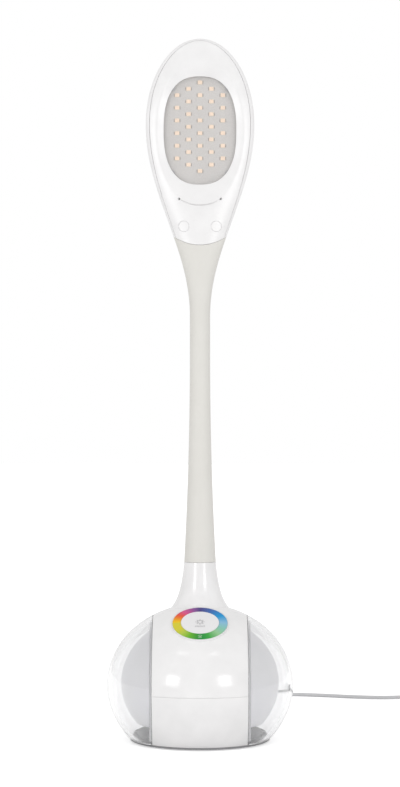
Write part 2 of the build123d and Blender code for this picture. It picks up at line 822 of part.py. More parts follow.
with BuildPart() as head_front_cover:
    head_form()
    inside_lip(upright(parting_front_y), 0, far, Mode.INTERSECT)
    with BuildSketch(upright(parting_front_y - bowl_root)) as bowl:
        superellipse(bowl_half_width, bowl_half_height, 2, window_centre_z)
    extrude(bowl.sketch, amount=parting_front_y - bowl_root - bowl_back_y)
    with BuildSketch(upright(parting_y)):
        with Locations((0, pocket_top_z)):
            Rectangle(2 * pocket_half_width, far, align=(Align.CENTER, Align.MAX))
    extrude(amount=parting_y - neck_y + head_front_depth - head_wall, mode=Mode.SUBTRACT)
    add(window_hole.part, mode=Mode.SUBTRACT)
    with BuildSketch(upright(slot_floor_y)):
        half_turn = math.degrees(math.asin(slot_half_chord / slot_radius))
        with BuildLine() as smile:
            CenterArc((0, slot_centre_z), slot_radius, -90 - half_turn, 2 * half_turn)
        SlotArc(smile.edge(), slot_width)
    extrude(amount=far, mode=Mode.SUBTRACT)
    for radius, floor_y in (
        (plug_radius + plug_gap, plug_floor_y),
        (screw_head_radius + screw_clearance, plug_floor_y + head_screw_head_height + fit),
        (screw_radius + screw_clearance, parting_y),
    ):
        with BuildSketch(upright(floor_y)):
            with Locations(plug_places):
                Circle(radius)
        extrude(amount=far, mode=Mode.SUBTRACT)
finish(head_front_cover.part, "head_front_cover")

with BuildPart() as screw_plugs:
    head_form(low_z=spigot_bottom_z)
    with BuildSketch(upright(plug_floor_y)):
        with Locations(plug_places):
            Circle(plug_radius)
    extrude(amount=far, mode=Mode.INTERSECT)
finish(screw_plugs.part, "screw_plugs")

with BuildPart() as head_screws:
    plug_seat_y = plug_floor_y + head_screw_head_height + fit
    for x, z in plug_places:
        seat = Plane(origin=(x, plug_seat_y, z), z_dir=(0, -1, 0))
        screw(seat, screw_head_radius, head_screw_head_height, head_screw_end_y - plug_seat_y)
    for x, z in led_post_places:
        seat = Plane(origin=(x, led_board_y, z), z_dir=(0, -1, 0))
        screw(seat, screw_head_radius, head_screw_head_height, head_screw_end_y - led_board_y)
finish(head_screws.part, "head_screws")

with BuildPart() as light_window:
    with BuildSketch(upright(window_seat_y)):
        edge = window_rebate - plug_gap
        superellipse(window_half_width + edge, window_half_height + edge, window_power, window_centre_z)
    extrude(amount=-window_thickness)
finish(light_window.part, "light_window")

with BuildPart() as led_board:
    with BuildSketch(upright(led_board_y)):
        edge = led_board_margin
        superellipse(window_half_width + edge, window_half_height + edge, window_power, window_centre_z)
        with Locations(led_post_places):
            Circle(screw_radius + screw_clearance, mode=Mode.SUBTRACT)
    extrude(amount=-board_thickness)
finish(led_board.part, "led_board")

with BuildPart() as led_chips:
    with BuildSketch(upright(led_board_y)):
        for place, rows in led_columns.items():
            with Locations((place * led_column_pitch, led_centre_z)):
                with GridLocations(led_column_pitch, led_row_pitch, 1, rows):
                    Rectangle(led_width, led_height)
    extrude(amount=led_thickness)
finish(led_chips.part, "led_chips")

# ---- Lead, coil and adapter ---------------------------------------------------------------------
with BuildPart() as strain_relief:
    with BuildSketch(Plane.YZ):
        tip_y, tip_z = lead_points[0][1:]
        inner_y, outer_y = gland_inner_y - relief_flange, gland_outer_y + relief_flange
        with BuildLine():
            Polyline(
                (inner_y, tip_z),
                (inner_y, tip_z + relief_flange_radius),
                (gland_inner_y - seat_gap, tip_z + relief_flange_radius),
                (gland_inner_y - seat_gap, tip_z + relief_radius),
                (gland_outer_y + seat_gap, tip_z + relief_radius),
                (gland_outer_y + seat_gap, tip_z + relief_flange_radius),
                (outer_y, tip_z + relief_flange_radius),
                (outer_y, tip_z + relief_root_radius),
                (tip_y, tip_z + relief_tip_radius),
                (tip_y, tip_z),
                close=True,
            )
        make_face()
    revolve(axis=Axis((0, 0, lead_exit_z), (0, 1, 0)))
finish(strain_relief.part, "strain_relief")


def corner_radii(points):
    """Each corner's arc is as large as its two runs allow."""
    corners = [Vector(*point) for point in points]
    radii = []
    for before, here, after in zip(corners, corners[1:], corners[2:]):
        turn = math.radians((here - before).get_angle(after - here))
        shorter = min((here - before).length, (after - here).length)
        radii.append(0.45 * shorter / math.tan(turn / 2))
    return radii


with BuildPart() as power_lead:
    with BuildLine() as lead_path:
        FilletPolyline(*lead_points, radius=corner_radii(lead_points))
    with BuildSketch(Plane(lead_path.wire() @ 0, z_dir=lead_path.wire() % 0)):
        Circle(lead_radius)
    sweep()
finish(power_lead.part, "power_lead")
lead_volume = math.pi * lead_radius**2 * lead_path.wire().length
print("lead radii:", [round(radius, 1) for radius in corner_radii(lead_points)])
print("lead length:", round(lead_path.wire().length, 1))
print("lead volume against section times length:", round(power_lead.part.volume / lead_volume, 6))


def coil_stations():
    """The coil's reach and height at each half turn: it spirals in and out, and climbs where it reverses."""
    reach, z = coil_outer_radius, coil_low_z
    stations = [(reach, z)]
    for layer in range(coil_layers):
        step = coil_pitch / 2 if layer % 2 else -coil_pitch / 2
        last = layer == coil_layers - 1
        for _ in range(half_turns_per_layer - last):
            reach += step
            stations.append((reach, z))
        if not last:
            z += coil_rise
            stations.append((reach, z))
    return stations


def two_arcs(start, start_way, end, end_way):
    """Two arcs that leave start along start_way and reach end along end_way, without a corner."""
    across, ways = end - start, start_way + end_way
    a, b, c = 4 - ways.dot(ways), 2 * across.dot(ways), -across.dot(across)
    handle = (math.sqrt(b * b - 4 * a * c) - b) / (2 * a)
    joint = (start + start_way * handle + end - end_way * handle) * 0.5
    first = TangentArc(start, joint, tangent=start_way)
    TangentArc(joint, end, tangent=first % 1)


with BuildPart() as power_lead_coil:
    with BuildLine() as coil_path:
        ends = [
            (Vector(coil_x, coil_y + (-1) ** i * reach, z), Vector((-1) ** i, 0, 0))
            for i, (reach, z) in enumerate(coil_stations())
        ]
        last_reach, last_z = coil_stations()[-1]
        ends.append((Vector(coil_x + last_reach + coil_pitch / 4, coil_y, last_z), Vector(0, -1, 0)))
        Line(Vector(*lead_points[-1]), ends[0][0])
        for (start, start_way), (end, end_way) in zip(ends, ends[1:]):
            two_arcs(start, start_way, end, end_way)
        tail_end = ends[-1][0] + ends[-1][1] * coil_tail
        Line(ends[-1][0], tail_end)
    with BuildSketch(Plane(coil_path.wire() @ 0, z_dir=coil_path.wire() % 0)):
        Circle(lead_radius)
    sweep()
finish(power_lead_coil.part, "power_lead_coil")


def least_gap(wire, diameter):
    """The least gap between the tube's surface and itself, measured on points a millimetre apart."""
    count = int(wire.length)
    points = [wire @ (i / count) for i in range(count + 1)]
    skip = int(4 * diameter)
    pairs = ((a, b) for i, a in enumerate(points) for b in points[i + skip :])
    return min((a - b).length for a, b in pairs) - diameter


coil_volume = math.pi * lead_radius**2 * coil_path.wire().length
print("coil length:", round(coil_path.wire().length, 1))
print("coil volume against section times length:", round(power_lead_coil.part.volume / coil_volume, 6))
print("coil's least gap to itself:", round(least_gap(coil_path.wire(), lead_diameter), 2))

with BuildPart() as coil_tie:
    inner_reach = coil_outer_radius - half_turns_per_layer * coil_pitch / 2
    bundle_width = coil_outer_radius - inner_reach + lead_diameter + 2 * tie_gap
    bundle_height = (coil_layers - 1) * coil_rise + lead_diameter + 2 * tie_gap
    bundle_x = coil_x - (coil_outer_radius + inner_reach) / 2
    bundle_z = coil_low_z + (coil_layers - 1) * coil_rise / 2
    with BuildSketch(Plane(origin=(bundle_x, coil_y, bundle_z), x_dir=(1, 0, 0), z_dir=(0, -1, 0))):
        corner = lead_radius + tie_corner_extra
        RectangleRounded(bundle_width + 2 * tie_wall, bundle_height + 2 * tie_wall, corner + tie_wall)
        RectangleRounded(bundle_width, bundle_height, corner, mode=Mode.SUBTRACT)
    extrude(amount=tie_width / 2, both=True)
finish(coil_tie.part, "coil_tie")

with BuildPart() as power_adapter:
    back_y = tail_end.Y - adapter_neck
    with BuildSketch(Plane(origin=(tail_end.X, back_y, tail_end.Z), x_dir=(1, 0, 0), z_dir=(0, -1, 0))):
        RectangleRounded(adapter_width, adapter_height, adapter_corner)
    extrude(amount=adapter_length)
    fillet(power_adapter.edges().group_by(Axis.Y)[-1], adapter_corner / 2)
    with BuildSketch(Plane(origin=(tail_end.X, back_y, tail_end.Z), z_dir=(0, 1, 0))):
        Circle(relief_root_radius)
    with BuildSketch(Plane(origin=tail_end, z_dir=(0, 1, 0))):
        Circle(relief_tip_radius)
    loft()
finish(power_adapter.part, "power_adapter")

with BuildPart() as adapter_pins:
    front_y = back_y - adapter_length
    with BuildSketch(Plane(origin=(tail_end.X, front_y, tail_end.Z), x_dir=(1, 0, 0), z_dir=(0, -1, 0))):
        with GridLocations(pin_spacing, 0, 2, 1):
            Circle(pin_radius)
    extrude(amount=pin_length)
finish(adapter_pins.part, "adapter_pins")
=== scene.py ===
"""Dresses a white LED desk lamp: spoon-shaped head, silicone-sleeved neck, egg-shaped base with clear domes.

Lengths are in metres, +Z is up and the lamp's front faces -Y. The base, neck and head repeat the construction
model's own formulas, so that each large surface lies where its solid does.
"""

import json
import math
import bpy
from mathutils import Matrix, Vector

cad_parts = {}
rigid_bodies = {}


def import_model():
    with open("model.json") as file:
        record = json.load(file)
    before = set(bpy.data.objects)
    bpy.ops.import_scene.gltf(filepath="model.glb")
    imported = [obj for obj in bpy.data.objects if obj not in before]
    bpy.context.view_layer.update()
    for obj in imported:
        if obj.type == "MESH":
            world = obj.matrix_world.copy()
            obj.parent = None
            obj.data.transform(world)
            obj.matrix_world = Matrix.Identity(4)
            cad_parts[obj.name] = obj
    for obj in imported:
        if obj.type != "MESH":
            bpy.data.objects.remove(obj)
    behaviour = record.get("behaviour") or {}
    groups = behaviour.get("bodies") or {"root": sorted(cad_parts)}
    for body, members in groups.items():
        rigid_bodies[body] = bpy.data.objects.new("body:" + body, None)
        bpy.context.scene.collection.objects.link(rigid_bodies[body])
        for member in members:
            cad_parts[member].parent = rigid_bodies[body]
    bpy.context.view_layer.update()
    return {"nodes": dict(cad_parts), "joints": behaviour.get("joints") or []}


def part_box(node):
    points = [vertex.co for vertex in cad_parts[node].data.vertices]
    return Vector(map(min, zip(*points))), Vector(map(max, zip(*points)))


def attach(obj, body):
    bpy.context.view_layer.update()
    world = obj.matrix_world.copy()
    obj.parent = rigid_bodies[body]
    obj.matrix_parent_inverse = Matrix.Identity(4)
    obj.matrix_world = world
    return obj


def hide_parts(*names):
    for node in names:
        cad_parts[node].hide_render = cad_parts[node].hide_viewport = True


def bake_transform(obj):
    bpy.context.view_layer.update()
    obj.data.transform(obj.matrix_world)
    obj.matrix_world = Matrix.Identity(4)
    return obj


bl_info = {
    "name": "Gooseneck LED desk lamp",
    "version": (1, 0, 0),
    "blender": (4, 5, 0),
    "location": "View3D > Sidebar > Desk Lamp",
    "description": "Adds the surfaces, finishes, lead and studio of a gooseneck LED desk lamp",
    "category": "Add Mesh",
}

import bmesh
import bpy
import numpy as np
from mathutils import Matrix, Vector

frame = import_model()
MM = 0.001
TINY = 1e-9  # stands in for a width of 0 that something is divided by
PRINT_HEIGHT = 0.2 * MM  # of the printed signs, above the touch panel
PARTING_GAP = 0.08 * MM  # from the head's parting line and lip to each piece that meets there
CHIP_HALF_WIDTH, CHIP_HALF_HEIGHT = 1.6 * MM, 1.4 * MM
WINDOW_POWER = 2.5  # of the window's superellipse: 2 would be an ellipse, and more is squarer
BEFORE_HEAD = -20 * MM  # depth at which the head's cutters start, clear of its front
JOINTS = sorted(frame["joints"], key=lambda joint: joint["pos_m"][2])
BEND_HEIGHTS = np.array([joint["pos_m"][2] for joint in JOINTS])
BEND_BODIES = [(joint["parent"], joint["child"]) for joint in JOINTS]


# ---- Sizes and colours that a user would change --------------------------------------------------
def length(name, words, value):
    """A length property, given in millimetres and kept in metres."""
    return bpy.props.FloatProperty(
        name=name, description=words, default=value * MM, unit="LENGTH", subtype="DISTANCE", precision=5
    )


def colour(name, words, code):
    """A colour property, given as an sRGB hex code."""
    return bpy.props.StringProperty(name=name, description=words, default=code)


class LampBaseSizes(bpy.types.PropertyGroup):
    """The egg-shaped base and its collar."""

    radius: length("Base radius", "Radius of the egg seen from above", 65.0)
    half_height: length("Base half height", "Half of the whole egg's height", 56.0)
    centre_z: length("Base centre", "Height of the egg's widest line", 39.0)
    band_half_width: length("Band half width", "From the middle to the band's edge", 32.6)
    band_wall: length("Band wall", "Thickness of the white shells", 2.4)
    bottom_z: length("Shell bottom", "Height of the shells' lower edge", 2.2)
    seam_z: length("Seam height", "Height of the line between the two white shells", 38.0)
    seam_gap: length("Seam gap", "Width of that line", 0.14)
    clear_wall: length("Clear wall", "Thickness of the clear domes", 2.8)
    clear_rim_x: length("Clear rim", "From the middle to the clear domes' rims", 32.68)
    frosted_radius: length("Frosted radius", "Radius of the frosted domes", 54.9)
    frosted_half_height: length("Frosted half height", "Half height of the frosted domes", 46.7)
    frosted_centre_z: length("Frosted centre", "Height of the frosted domes' middle", 40.4)
    frosted_bottom_z: length("Frosted floor", "Height of the frosted domes' floors", 13.5)
    frosted_wall: length("Frosted wall", "Thickness of the frosted domes", 1.8)
    neck_y: length("Neck axis", "How far the neck stands behind the middle", 6.0)
    collar_top_z: length("Collar top", "Height of the collar's rim", 124.0)
    collar_top_radius: length("Collar top radius", "Radius of the collar's rim", 11.1)
    collar_waist_z: length("Collar waist", "Height of the collar's middle", 104.3)
    collar_waist_radius: length("Collar waist radius", "Radius of the collar's middle", 14.3)
    collar_foot_z: length("Collar foot", "Height at which the collar starts to spread", 95.4)
    collar_foot_radius: length("Collar foot radius", "Radius of the collar there", 17.9)
    collar_spread: length("Collar spread", "Radius at which the collar runs out on the egg", 20.4)
    ring_y: length("Ring place", "How far the touch ring lies before the middle", -35.0)
    ring_radius: length("Ring radius", "Outer radius of the colour ring", 18.8)
    ring_inner_radius: length("Ring inner radius", "Inner radius of the colour ring", 13.2)
    button_radius: length("Button radius", "Radius of the touch button", 13.0)


class LampHeadSizes(bpy.types.PropertyGroup):
    """The sleeve and the spoon-shaped head."""

    sleeve_root_radius: length("Sleeve root", "Radius of the sleeve on the collar", 11.1)
    sleeve_waist_radius: length("Sleeve waist", "Radius of the sleeve where it is thinnest", 7.1)
    sleeve_waist_z: length("Sleeve waist height", "Height at which the sleeve stops narrowing", 268.0)
    sleeve_wall: length("Sleeve wall", "Thickness of the sleeve", 1.5)
    root_z: length("Head root", "Height at which the head starts to widen", 296.0)
    wide_z: length("Head widest", "Height of the head's widest line", 430.0)
    top_z: length("Head top", "Height of the head's tip", 490.2)
    half_width: length("Head half width", "Half of the head's width", 38.0)
    back_depth: length("Head back depth", "From the neck's axis to the back", 13.0)
    front_depth: length("Head front depth", "From the neck's axis to the front", 6.9)
    wall: length("Head wall", "Thickness of the head's shells", 2.0)
    parting_y: length("Parting", "Depth of the line between the head's shells", 3.5)
    lip_radius: length("Lip radius", "Radius of the sleeve's upper edge", 30.7)
    lip_z: length("Lip height", "Lowest point of the sleeve's upper edge", 345.4)
    window_half_width: length("Window half width", "Half of the light window's width", 25.4)
    window_half_height: length("Window half height", "Half of the light window's height", 37.8)
    window_z: length("Window height", "Height of the light window's middle", 425.7)
    window_y: length("Window depth", "Depth of the light window's edge", 3.2)
    dish_half_width: length("Dish half width", "Half width of the dish's mouth", 47.7)
    dish_half_height: length("Dish half height", "Half height of the dish's mouth", 56.1)
    dish_z: length("Dish height", "Height of the dish's middle", 422.9)
    dish_y: length("Dish depth", "Depth at which the dish's mouth is measured", -2.5)
    slot_radius: length("Slot radius", "Radius of the smile-shaped slot", 25.7)
    slot_z: length("Slot centre", "Height of the slot's centre", 398.8)
    slot_half_chord: length("Slot half chord", "Half of the slot's span", 14.6)
    plug_x: length("Plug place", "From the middle to each screw plug", 11.35)
    plug_z: length("Plug height", "Height of the screw plugs", 358.4)
    plug_radius: length("Plug radius", "Radius of the screw plugs", 3.75)


class LampColours(bpy.types.PropertyGroup):
    """Colours as sRGB hex codes."""

    shell: colour("Shells", "Moulded white shells", "F8F7F7")
    sleeve: colour("Sleeve", "Silicone sleeve on the neck", "E5E3DE")
    frosted: colour("Frosted domes", "Frosted inner domes", "F3F3F3")
    frame: colour("Side frames", "Frames between band and domes", "E6E6E8")
    plate: colour("Base plate", "Plate under the base", "8C8C8E")
    window: colour("Window", "Light panel", "EFEDEB")
    phosphor: colour("Light chips", "Phosphor of the unlit chips", "F8DFC8")
    lead: colour("Lead", "Vinyl lead", "D2D2D4")
    ink: colour("Icons", "Printed icons", "9B9A9C")


# ---- Meshes from formulas ------------------------------------------------------------------------
def grid(points, wrap_rows=False, wrap_columns=False):
    """Corners and quads of a surface whose points are an array of rows by columns by 3."""
    rows, columns = points.shape[:2]
    index = np.arange(rows * columns).reshape(rows, columns)
    if wrap_rows:
        index = np.vstack([index, index[:1]])
    if wrap_columns:
        index = np.hstack([index, index[:, :1]])
    quads = np.stack([index[:-1, :-1], index[:-1, 1:], index[1:, 1:], index[1:, :-1]], -1)
    return points.reshape(-1, 3), quads.reshape(-1, 4)


def facing_out(surface, inside):
    """The same surface with its quads turned away from a point inside the piece.

    A quad's normal is the cross product of its diagonals; the sum of its dot products with the way out tells.
    """
    points, quads = surface
    corners = points[quads]
    normals = np.cross(corners[:, 2] - corners[:, 0], corners[:, 3] - corners[:, 1])
    outward = corners.mean(axis=1) - np.array(inside)
    return (points, quads if np.sum(normals * outward) > 0 else quads[:, ::-1])


def add_object(name, points, faces, closed):
    """One object of points and faces, with its doubles merged, so that seams and poles are closed."""
    mesh = bpy.data.meshes.new(name)
    mesh.from_pydata(points.tolist(), [], faces)
    work = bmesh.new()
    work.from_mesh(mesh)
    bmesh.ops.remove_doubles(work, verts=work.verts, dist=0.002 * MM)
    bmesh.ops.dissolve_degenerate(work, edges=work.edges, dist=0.001 * MM)
    if closed:
        bmesh.ops.recalc_face_normals(work, faces=work.faces)
    work.to_mesh(mesh)
    work.free()
    piece = bpy.data.objects.new(name, mesh)
    bpy.context.collection.objects.link(piece)
    return piece


def add_mesh(name, surfaces, closed=True):
    """One object of several surfaces. An open one keeps the way its faces point."""
    points, quads, count = [], [], 0
    for surface_points, surface_quads in surfaces:
        points.append(surface_points)
        quads.append(surface_quads + count)
        count += len(surface_points)
    return add_object(name, np.concatenate(points), np.concatenate(quads).tolist(), closed)


def add_prism(name, rings):
    """A closed prism between two rings of points; each end is one face."""
    count = rings.shape[1]
    points, sides = grid(rings, wrap_columns=True)
    ends = [list(range(count)), list(range(count, 2 * count))]
    return add_object(name, points, sides.tolist() + ends, closed=True)


def bake(piece):
    """Puts the result of a piece's modifiers into its mesh."""
    bpy.context.view_layer.update()
    evaluated = piece.evaluated_get(bpy.context.evaluated_depsgraph_get())
    baked = bpy.data.meshes.new_from_object(evaluated)
    baked.name = piece.name
    piece.modifiers.clear()
    piece.data = baked


def thicken(piece, wall, edge):
    """Gives an open surface its wall on the inside, and rounds the wall's edges unless edge is 0."""
    solid = piece.modifiers.new("wall", "SOLIDIFY")
    solid.thickness = wall
    solid.offset = -1
    solid.use_even_offset = True
    if edge:
        rounding = piece.modifiers.new("edge", "BEVEL")
        rounding.width = edge
        rounding.segments = 3
        rounding.limit_method = "ANGLE"
        rounding.angle_limit = math.radians(50)
    bake(piece)


def cut(piece, cutter):
    """Takes a closed cutter away from a piece."""
    difference = piece.modifiers.new("cut", "BOOLEAN")
    difference.object = cutter
    difference.operation = "DIFFERENCE"
    difference.solver = "EXACT"
    bake(piece)
    bpy.data.objects.remove(cutter)


def settle(piece, body, material, nodes=(), crease=32):
    """Gives a piece its smooth shading up to a crease in degrees, its material and what it stands for.

    The body is the one it rides on, or None for a piece that is joined to no body, and the nodes are those
    that it replaces.
    """
    piece.data.shade_smooth()
    piece.data.set_sharp_from_angle(angle=math.radians(crease))
    piece.data.materials.clear()
    piece.data.materials.append(material)
    if body:
        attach(piece, body)
    if nodes:
        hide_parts(*nodes)
    return piece


def finish_node(node, material):
    """Gives a piece that keeps its construction shape a material."""
    for material_slot in node.material_slots:
        material_slot.material = material


def revolve(profile, columns, centre=(0.0, 0.0)):
    """A profile of (radius, height) points, from the axis back to the axis, turned about an upright axis."""
    profile = np.asarray(profile, float)
    turn = np.linspace(0, 2 * np.pi, columns, endpoint=False)
    points = np.empty((len(profile), columns, 3))
    points[..., 0] = centre[0] + profile[:, :1] * np.cos(turn)
    points[..., 1] = centre[1] + profile[:, :1] * np.sin(turn)
    points[..., 2] = profile[:, 1:]
    return grid(points, wrap_columns=True)


def hermite(start, start_way, end, end_way, steps):
    """A cubic from start to end that leaves and arrives along the given ways. Arrays broadcast."""
    s = np.asarray(steps, float)
    return (
        (2 * s**3 - 3 * s**2 + 1) * start
        + (s**3 - 2 * s**2 + s) * start_way
        + (3 * s**2 - 2 * s**3) * end
        + (s**3 - s**2) * end_way
    )


def rounded_box_outline(half_width, half_height, corner, steps):
    """An outline of (x, y) points with four quarter-circle corners."""
    turn = np.linspace(0, np.pi / 2, steps + 1)
    points = []
    for quarter, (x, y) in enumerate(((1, 1), (-1, 1), (-1, -1), (1, -1))):
        along = turn + quarter * np.pi / 2
        across = x * (half_width - corner) + corner * np.cos(along)
        up = y * (half_height - corner) + corner * np.sin(along)
        points.append(np.stack([across, up], -1))
    return np.concatenate(points)


def carried(outline, stations, place):
    """Carries an outline along stations of (distance, inset). place(outline, distance) gives points in space.

    Each station draws the outline in by its inset, measured towards the outline's own middle on both axes.
    """
    half = np.abs(outline).max(axis=0)
    rows = [place(outline * (1 - inset / half), distance) for distance, inset in stations]
    first, last = rows[0].mean(axis=0), rows[-1].mean(axis=0)
    rows = [np.broadcast_to(first, rows[0].shape)] + rows + [np.broadcast_to(last, rows[0].shape)]
    return grid(np.array(rows), wrap_columns=True)


# ---- Materials -----------------------------------------------------------------------------------
def linear(code):
    """sRGB hex to linear: below 0.04045 a share of 12.92, above it the 2.4 power."""
    shares = np.array([int(code[i : i + 2], 16) / 255 for i in (0, 2, 4)])
    low, high = shares / 12.92, ((shares + 0.055) / 1.055) ** 2.4
    return (*np.where(shares <= 0.04045, low, high).tolist(), 1.0)


def add_node(tree, kind, inputs=None, **settings):
    """Adds one node with its settings; an input is a value, or another node's output to link."""
    node = tree.nodes.new(kind)
    for key, value in settings.items():
        setattr(node, key, value)
    for key, value in (inputs or {}).items():
        if isinstance(value, bpy.types.NodeSocket):
            tree.links.new(value, node.inputs[key])
        else:
            node.inputs[key].default_value = value
    return node


def new_material(name, shader_inputs):
    """A material with one Principled shader on its output."""
    material = bpy.data.materials.new(name)
    material.use_nodes = True
    tree = material.node_tree
    tree.nodes.clear()
    shader = add_node(tree, "ShaderNodeBsdfPrincipled", shader_inputs)
    add_node(tree, "ShaderNodeOutputMaterial", {"Surface": shader.outputs[0]})
    return material, tree, shader


def patches(tree, size, detail=2.0):
    """A cloudy pattern from 0 to 1, whose patches have a real size, on the piece's own coordinates."""
    place = add_node(tree, "ShaderNodeTexCoord").outputs["Object"]
    cloud = add_node(tree, "ShaderNodeTexNoise", {"Vector": place, "Scale": 1 / size, "Detail": detail})
    return cloud.outputs["Fac"]


def wander(tree, shader, code, other, size, detail=2.0):
    """Lets a surface's colour wander between two close tones, in patches of a real size."""
    tones = {"Factor": patches(tree, size, detail), "A": linear(code), "B": linear(other)}
    mix = add_node(tree, "ShaderNodeMix", tones, data_type="RGBA")
    tree.links.new(mix.outputs["Result"], shader.inputs["Base Color"])


def emboss(tree, shader, pattern, depth):
    """Raises and sinks a surface by a pattern, to a real depth."""
    relief = add_node(tree, "ShaderNodeBump", {"Height": pattern, "Distance": depth, "Strength": 1.0})
    tree.links.new(relief.outputs[0], shader.inputs["Normal"])


def moulded_abs(name, code, roughness=0.16, shade="EBEAEA"):
    """Injection-moulded ABS, polished tool: bright, with the faint ripple that shrinkage leaves."""
    material, tree, shader = new_material(name, {"Roughness": roughness, "IOR": 1.54})
    wander(tree, shader, code, shade, size=14 * MM)
    emboss(tree, shader, patches(tree, 0.35 * MM), depth=0.0015 * MM)
    return material


def soft_plastic(name, code, roughness, grain=0.5 * MM, depth=0.01 * MM):
    """A textured plastic, a soft one, or ink: its fine grain gives a matt, even surface."""
    material, tree, shader = new_material(
        name, {"Roughness": roughness, "IOR": 1.5, "Base Color": linear(code)}
    )
    emboss(tree, shader, patches(tree, grain), depth)
    return material


def silicone_sleeve(code):
    """Moulded silicone rubber: matt and warm, with a dusty sheen towards its edges."""
    material, tree, shader = new_material(
        "moulded_silicone", {"Roughness": 0.55, "IOR": 1.41, "Sheen Weight": 0.12, "Sheen Roughness": 0.5}
    )
    wander(tree, shader, code, "DEDCD6", size=22 * MM, detail=4.0)
    emboss(tree, shader, patches(tree, 0.6 * MM), depth=0.006 * MM)
    return material


def clear_acrylic():
    """Cast acrylic, polished: almost colourless, with faint grey in its thickness."""
    material, tree, shader = new_material(
        "clear_acrylic", {"Roughness": 0.015, "IOR": 1.49, "Transmission Weight": 1.0}
    )
    wander(tree, shader, "F3F3F3", "F6F6F7", size=60 * MM)
    return material


def frosted_acrylic(code):
    """Opal acrylic, frosted outside: a dull gloss, and a faint painted glow that stands in for light coming
    through it from its far side.
    """
    material, tree, shader = new_material(
        "frosted_acrylic",
        # the emission is a painted glow: light coming through the dome, painted on its surface
        {"Roughness": 0.38, "IOR": 1.49, "Emission Color": linear("FFFFFF"), "Emission Strength": 0.1},
    )
    wander(tree, shader, code, "EDEDF2", size=40 * MM)
    emboss(tree, shader, patches(tree, 0.4 * MM), depth=0.006 * MM)
    return material


def hazy_window(code):
    """Thin polystyrene diffuser: mostly clear, so that the chips show softly through it."""
    material, tree, shader = new_material("hazy_diffuser", {"Roughness": 0.22, "IOR": 1.59, "Alpha": 0.2})
    wander(tree, shader, "D9D7D6", code, size=18 * MM)
    return material


def phosphor_resin(code):
    """Silicone with yellow phosphor in it, with a faint painted glow that brightens the chips in the shade
    behind the window.
    """
    material, tree, shader = new_material(
        "phosphor_resin",
        # the emission is a painted glow that lights the chips where the head's inside lies in shade
        {"Roughness": 0.35, "IOR": 1.41, "Emission Color": linear(code), "Emission Strength": 0.28},
    )
    wander(tree, shader, code, "F6D8B4", size=1.2 * MM)
    return material


def printed_colours(plane):
    """A colour wheel printed under a clear film: the hue follows the clock angle about the ring's middle.

    A radial gradient runs from 0 at nine o'clock, counter-clockwise, through 0.25 at six and 0.75 at twelve.
    """
    wheel = {  # colour at each hour of the clock
        0.0: "4B3F82", 1.0: "3A6DB6", 2.0: "0C98D6", 3.0: "8CBFDC", 3.8: "8AC8B4", 4.5: "97CA95",
        5.3: "42A948", 6.0: "1F8B40", 6.8: "67B332", 7.5: "B5CB50", 8.1: "D9CF3C", 9.1: "F2C818",
        9.75: "F07A2C", 10.1: "E8523C", 10.7: "D9568E", 11.5: "8B5098",
    }
    material, tree, shader = new_material(
        "printed_colour_wheel", {"Roughness": 0.3, "IOR": 1.5, "Specular IOR Level": 0.12}
    )
    place = add_node(tree, "ShaderNodeTexCoord")
    turned = add_node(
        tree,
        "ShaderNodeMapping",
        {"Vector": place.outputs["Object"], "Location": plane.translation, "Rotation": plane.to_euler()},
        vector_type="TEXTURE",
    )
    sweep = add_node(tree, "ShaderNodeTexGradient", {"Vector": turned.outputs[0]}, gradient_type="RADIAL")
    ramp = add_node(tree, "ShaderNodeValToRGB", {"Fac": sweep.outputs["Fac"]})
    stops = sorted(((0.25 + (6 - hour) / 12) % 1, code) for hour, code in wheel.items())
    elements = ramp.color_ramp.elements
    elements[0].position, elements[0].color = 0.0, linear(stops[0][1])
    elements[1].position, elements[1].color = 1.0, linear(stops[-1][1])
    for position, code in stops:
        elements.new(position).color = linear(code)
    tree.links.new(ramp.outputs["Color"], shader.inputs["Base Color"])
    return material


def metal(name, code, roughness, grain=0.6 * MM):
    """A plated or drawn metal: fine wear makes its gloss come and go a little about its roughness."""
    material, tree, shader = new_material(name, {"Base Color": linear(code), "Metallic": 1.0})
    smoothest, dullest = roughness - 0.06, roughness + 0.08
    wear = {"Value": patches(tree, grain, 3.0), "To Min": smoothest, "To Max": dullest}
    worn = add_node(tree, "ShaderNodeMapRange", wear)
    tree.links.new(worn.outputs[0], shader.inputs["Roughness"])
    return material


def circuit_board(name, code):
    """Glass-epoxy board under solder resist: a dull gloss over a fine woven ground."""
    material, tree, shader = new_material(name, {"Base Color": linear(code), "Roughness": 0.35, "IOR": 1.5})
    place = add_node(tree, "ShaderNodeTexCoord")
    thread = 0.7 * MM
    weave = add_node(tree, "ShaderNodeTexChecker", {"Vector": place.outputs["Object"], "Scale": 1 / thread})
    emboss(tree, shader, weave.outputs["Fac"], depth=0.004 * MM)
    return material


# ---- Shapes that several pieces share ------------------------------------------------------------
def egg_height(sizes, x, y):
    """Height of the egg's upper side over a point seen from above."""
    share = 1 - (x**2 + y**2) / sizes.radius**2
    return sizes.centre_z + sizes.half_height * np.sqrt(np.clip(share, 0, 1))


def ring_frame(sizes):
    """The plane that touches the egg at the touch ring's middle, as a 4 by 4 matrix: X across, Z out."""
    y, radius, half_height = sizes.ring_y, sizes.radius, sizes.half_height
    z = half_height * math.sqrt(1 - (y / radius) ** 2)
    tilt = math.atan2(-y / radius**2, z / half_height**2)
    return Matrix.Translation((0, y, sizes.centre_z + z)) @ Matrix.Rotation(tilt, 4, "X")


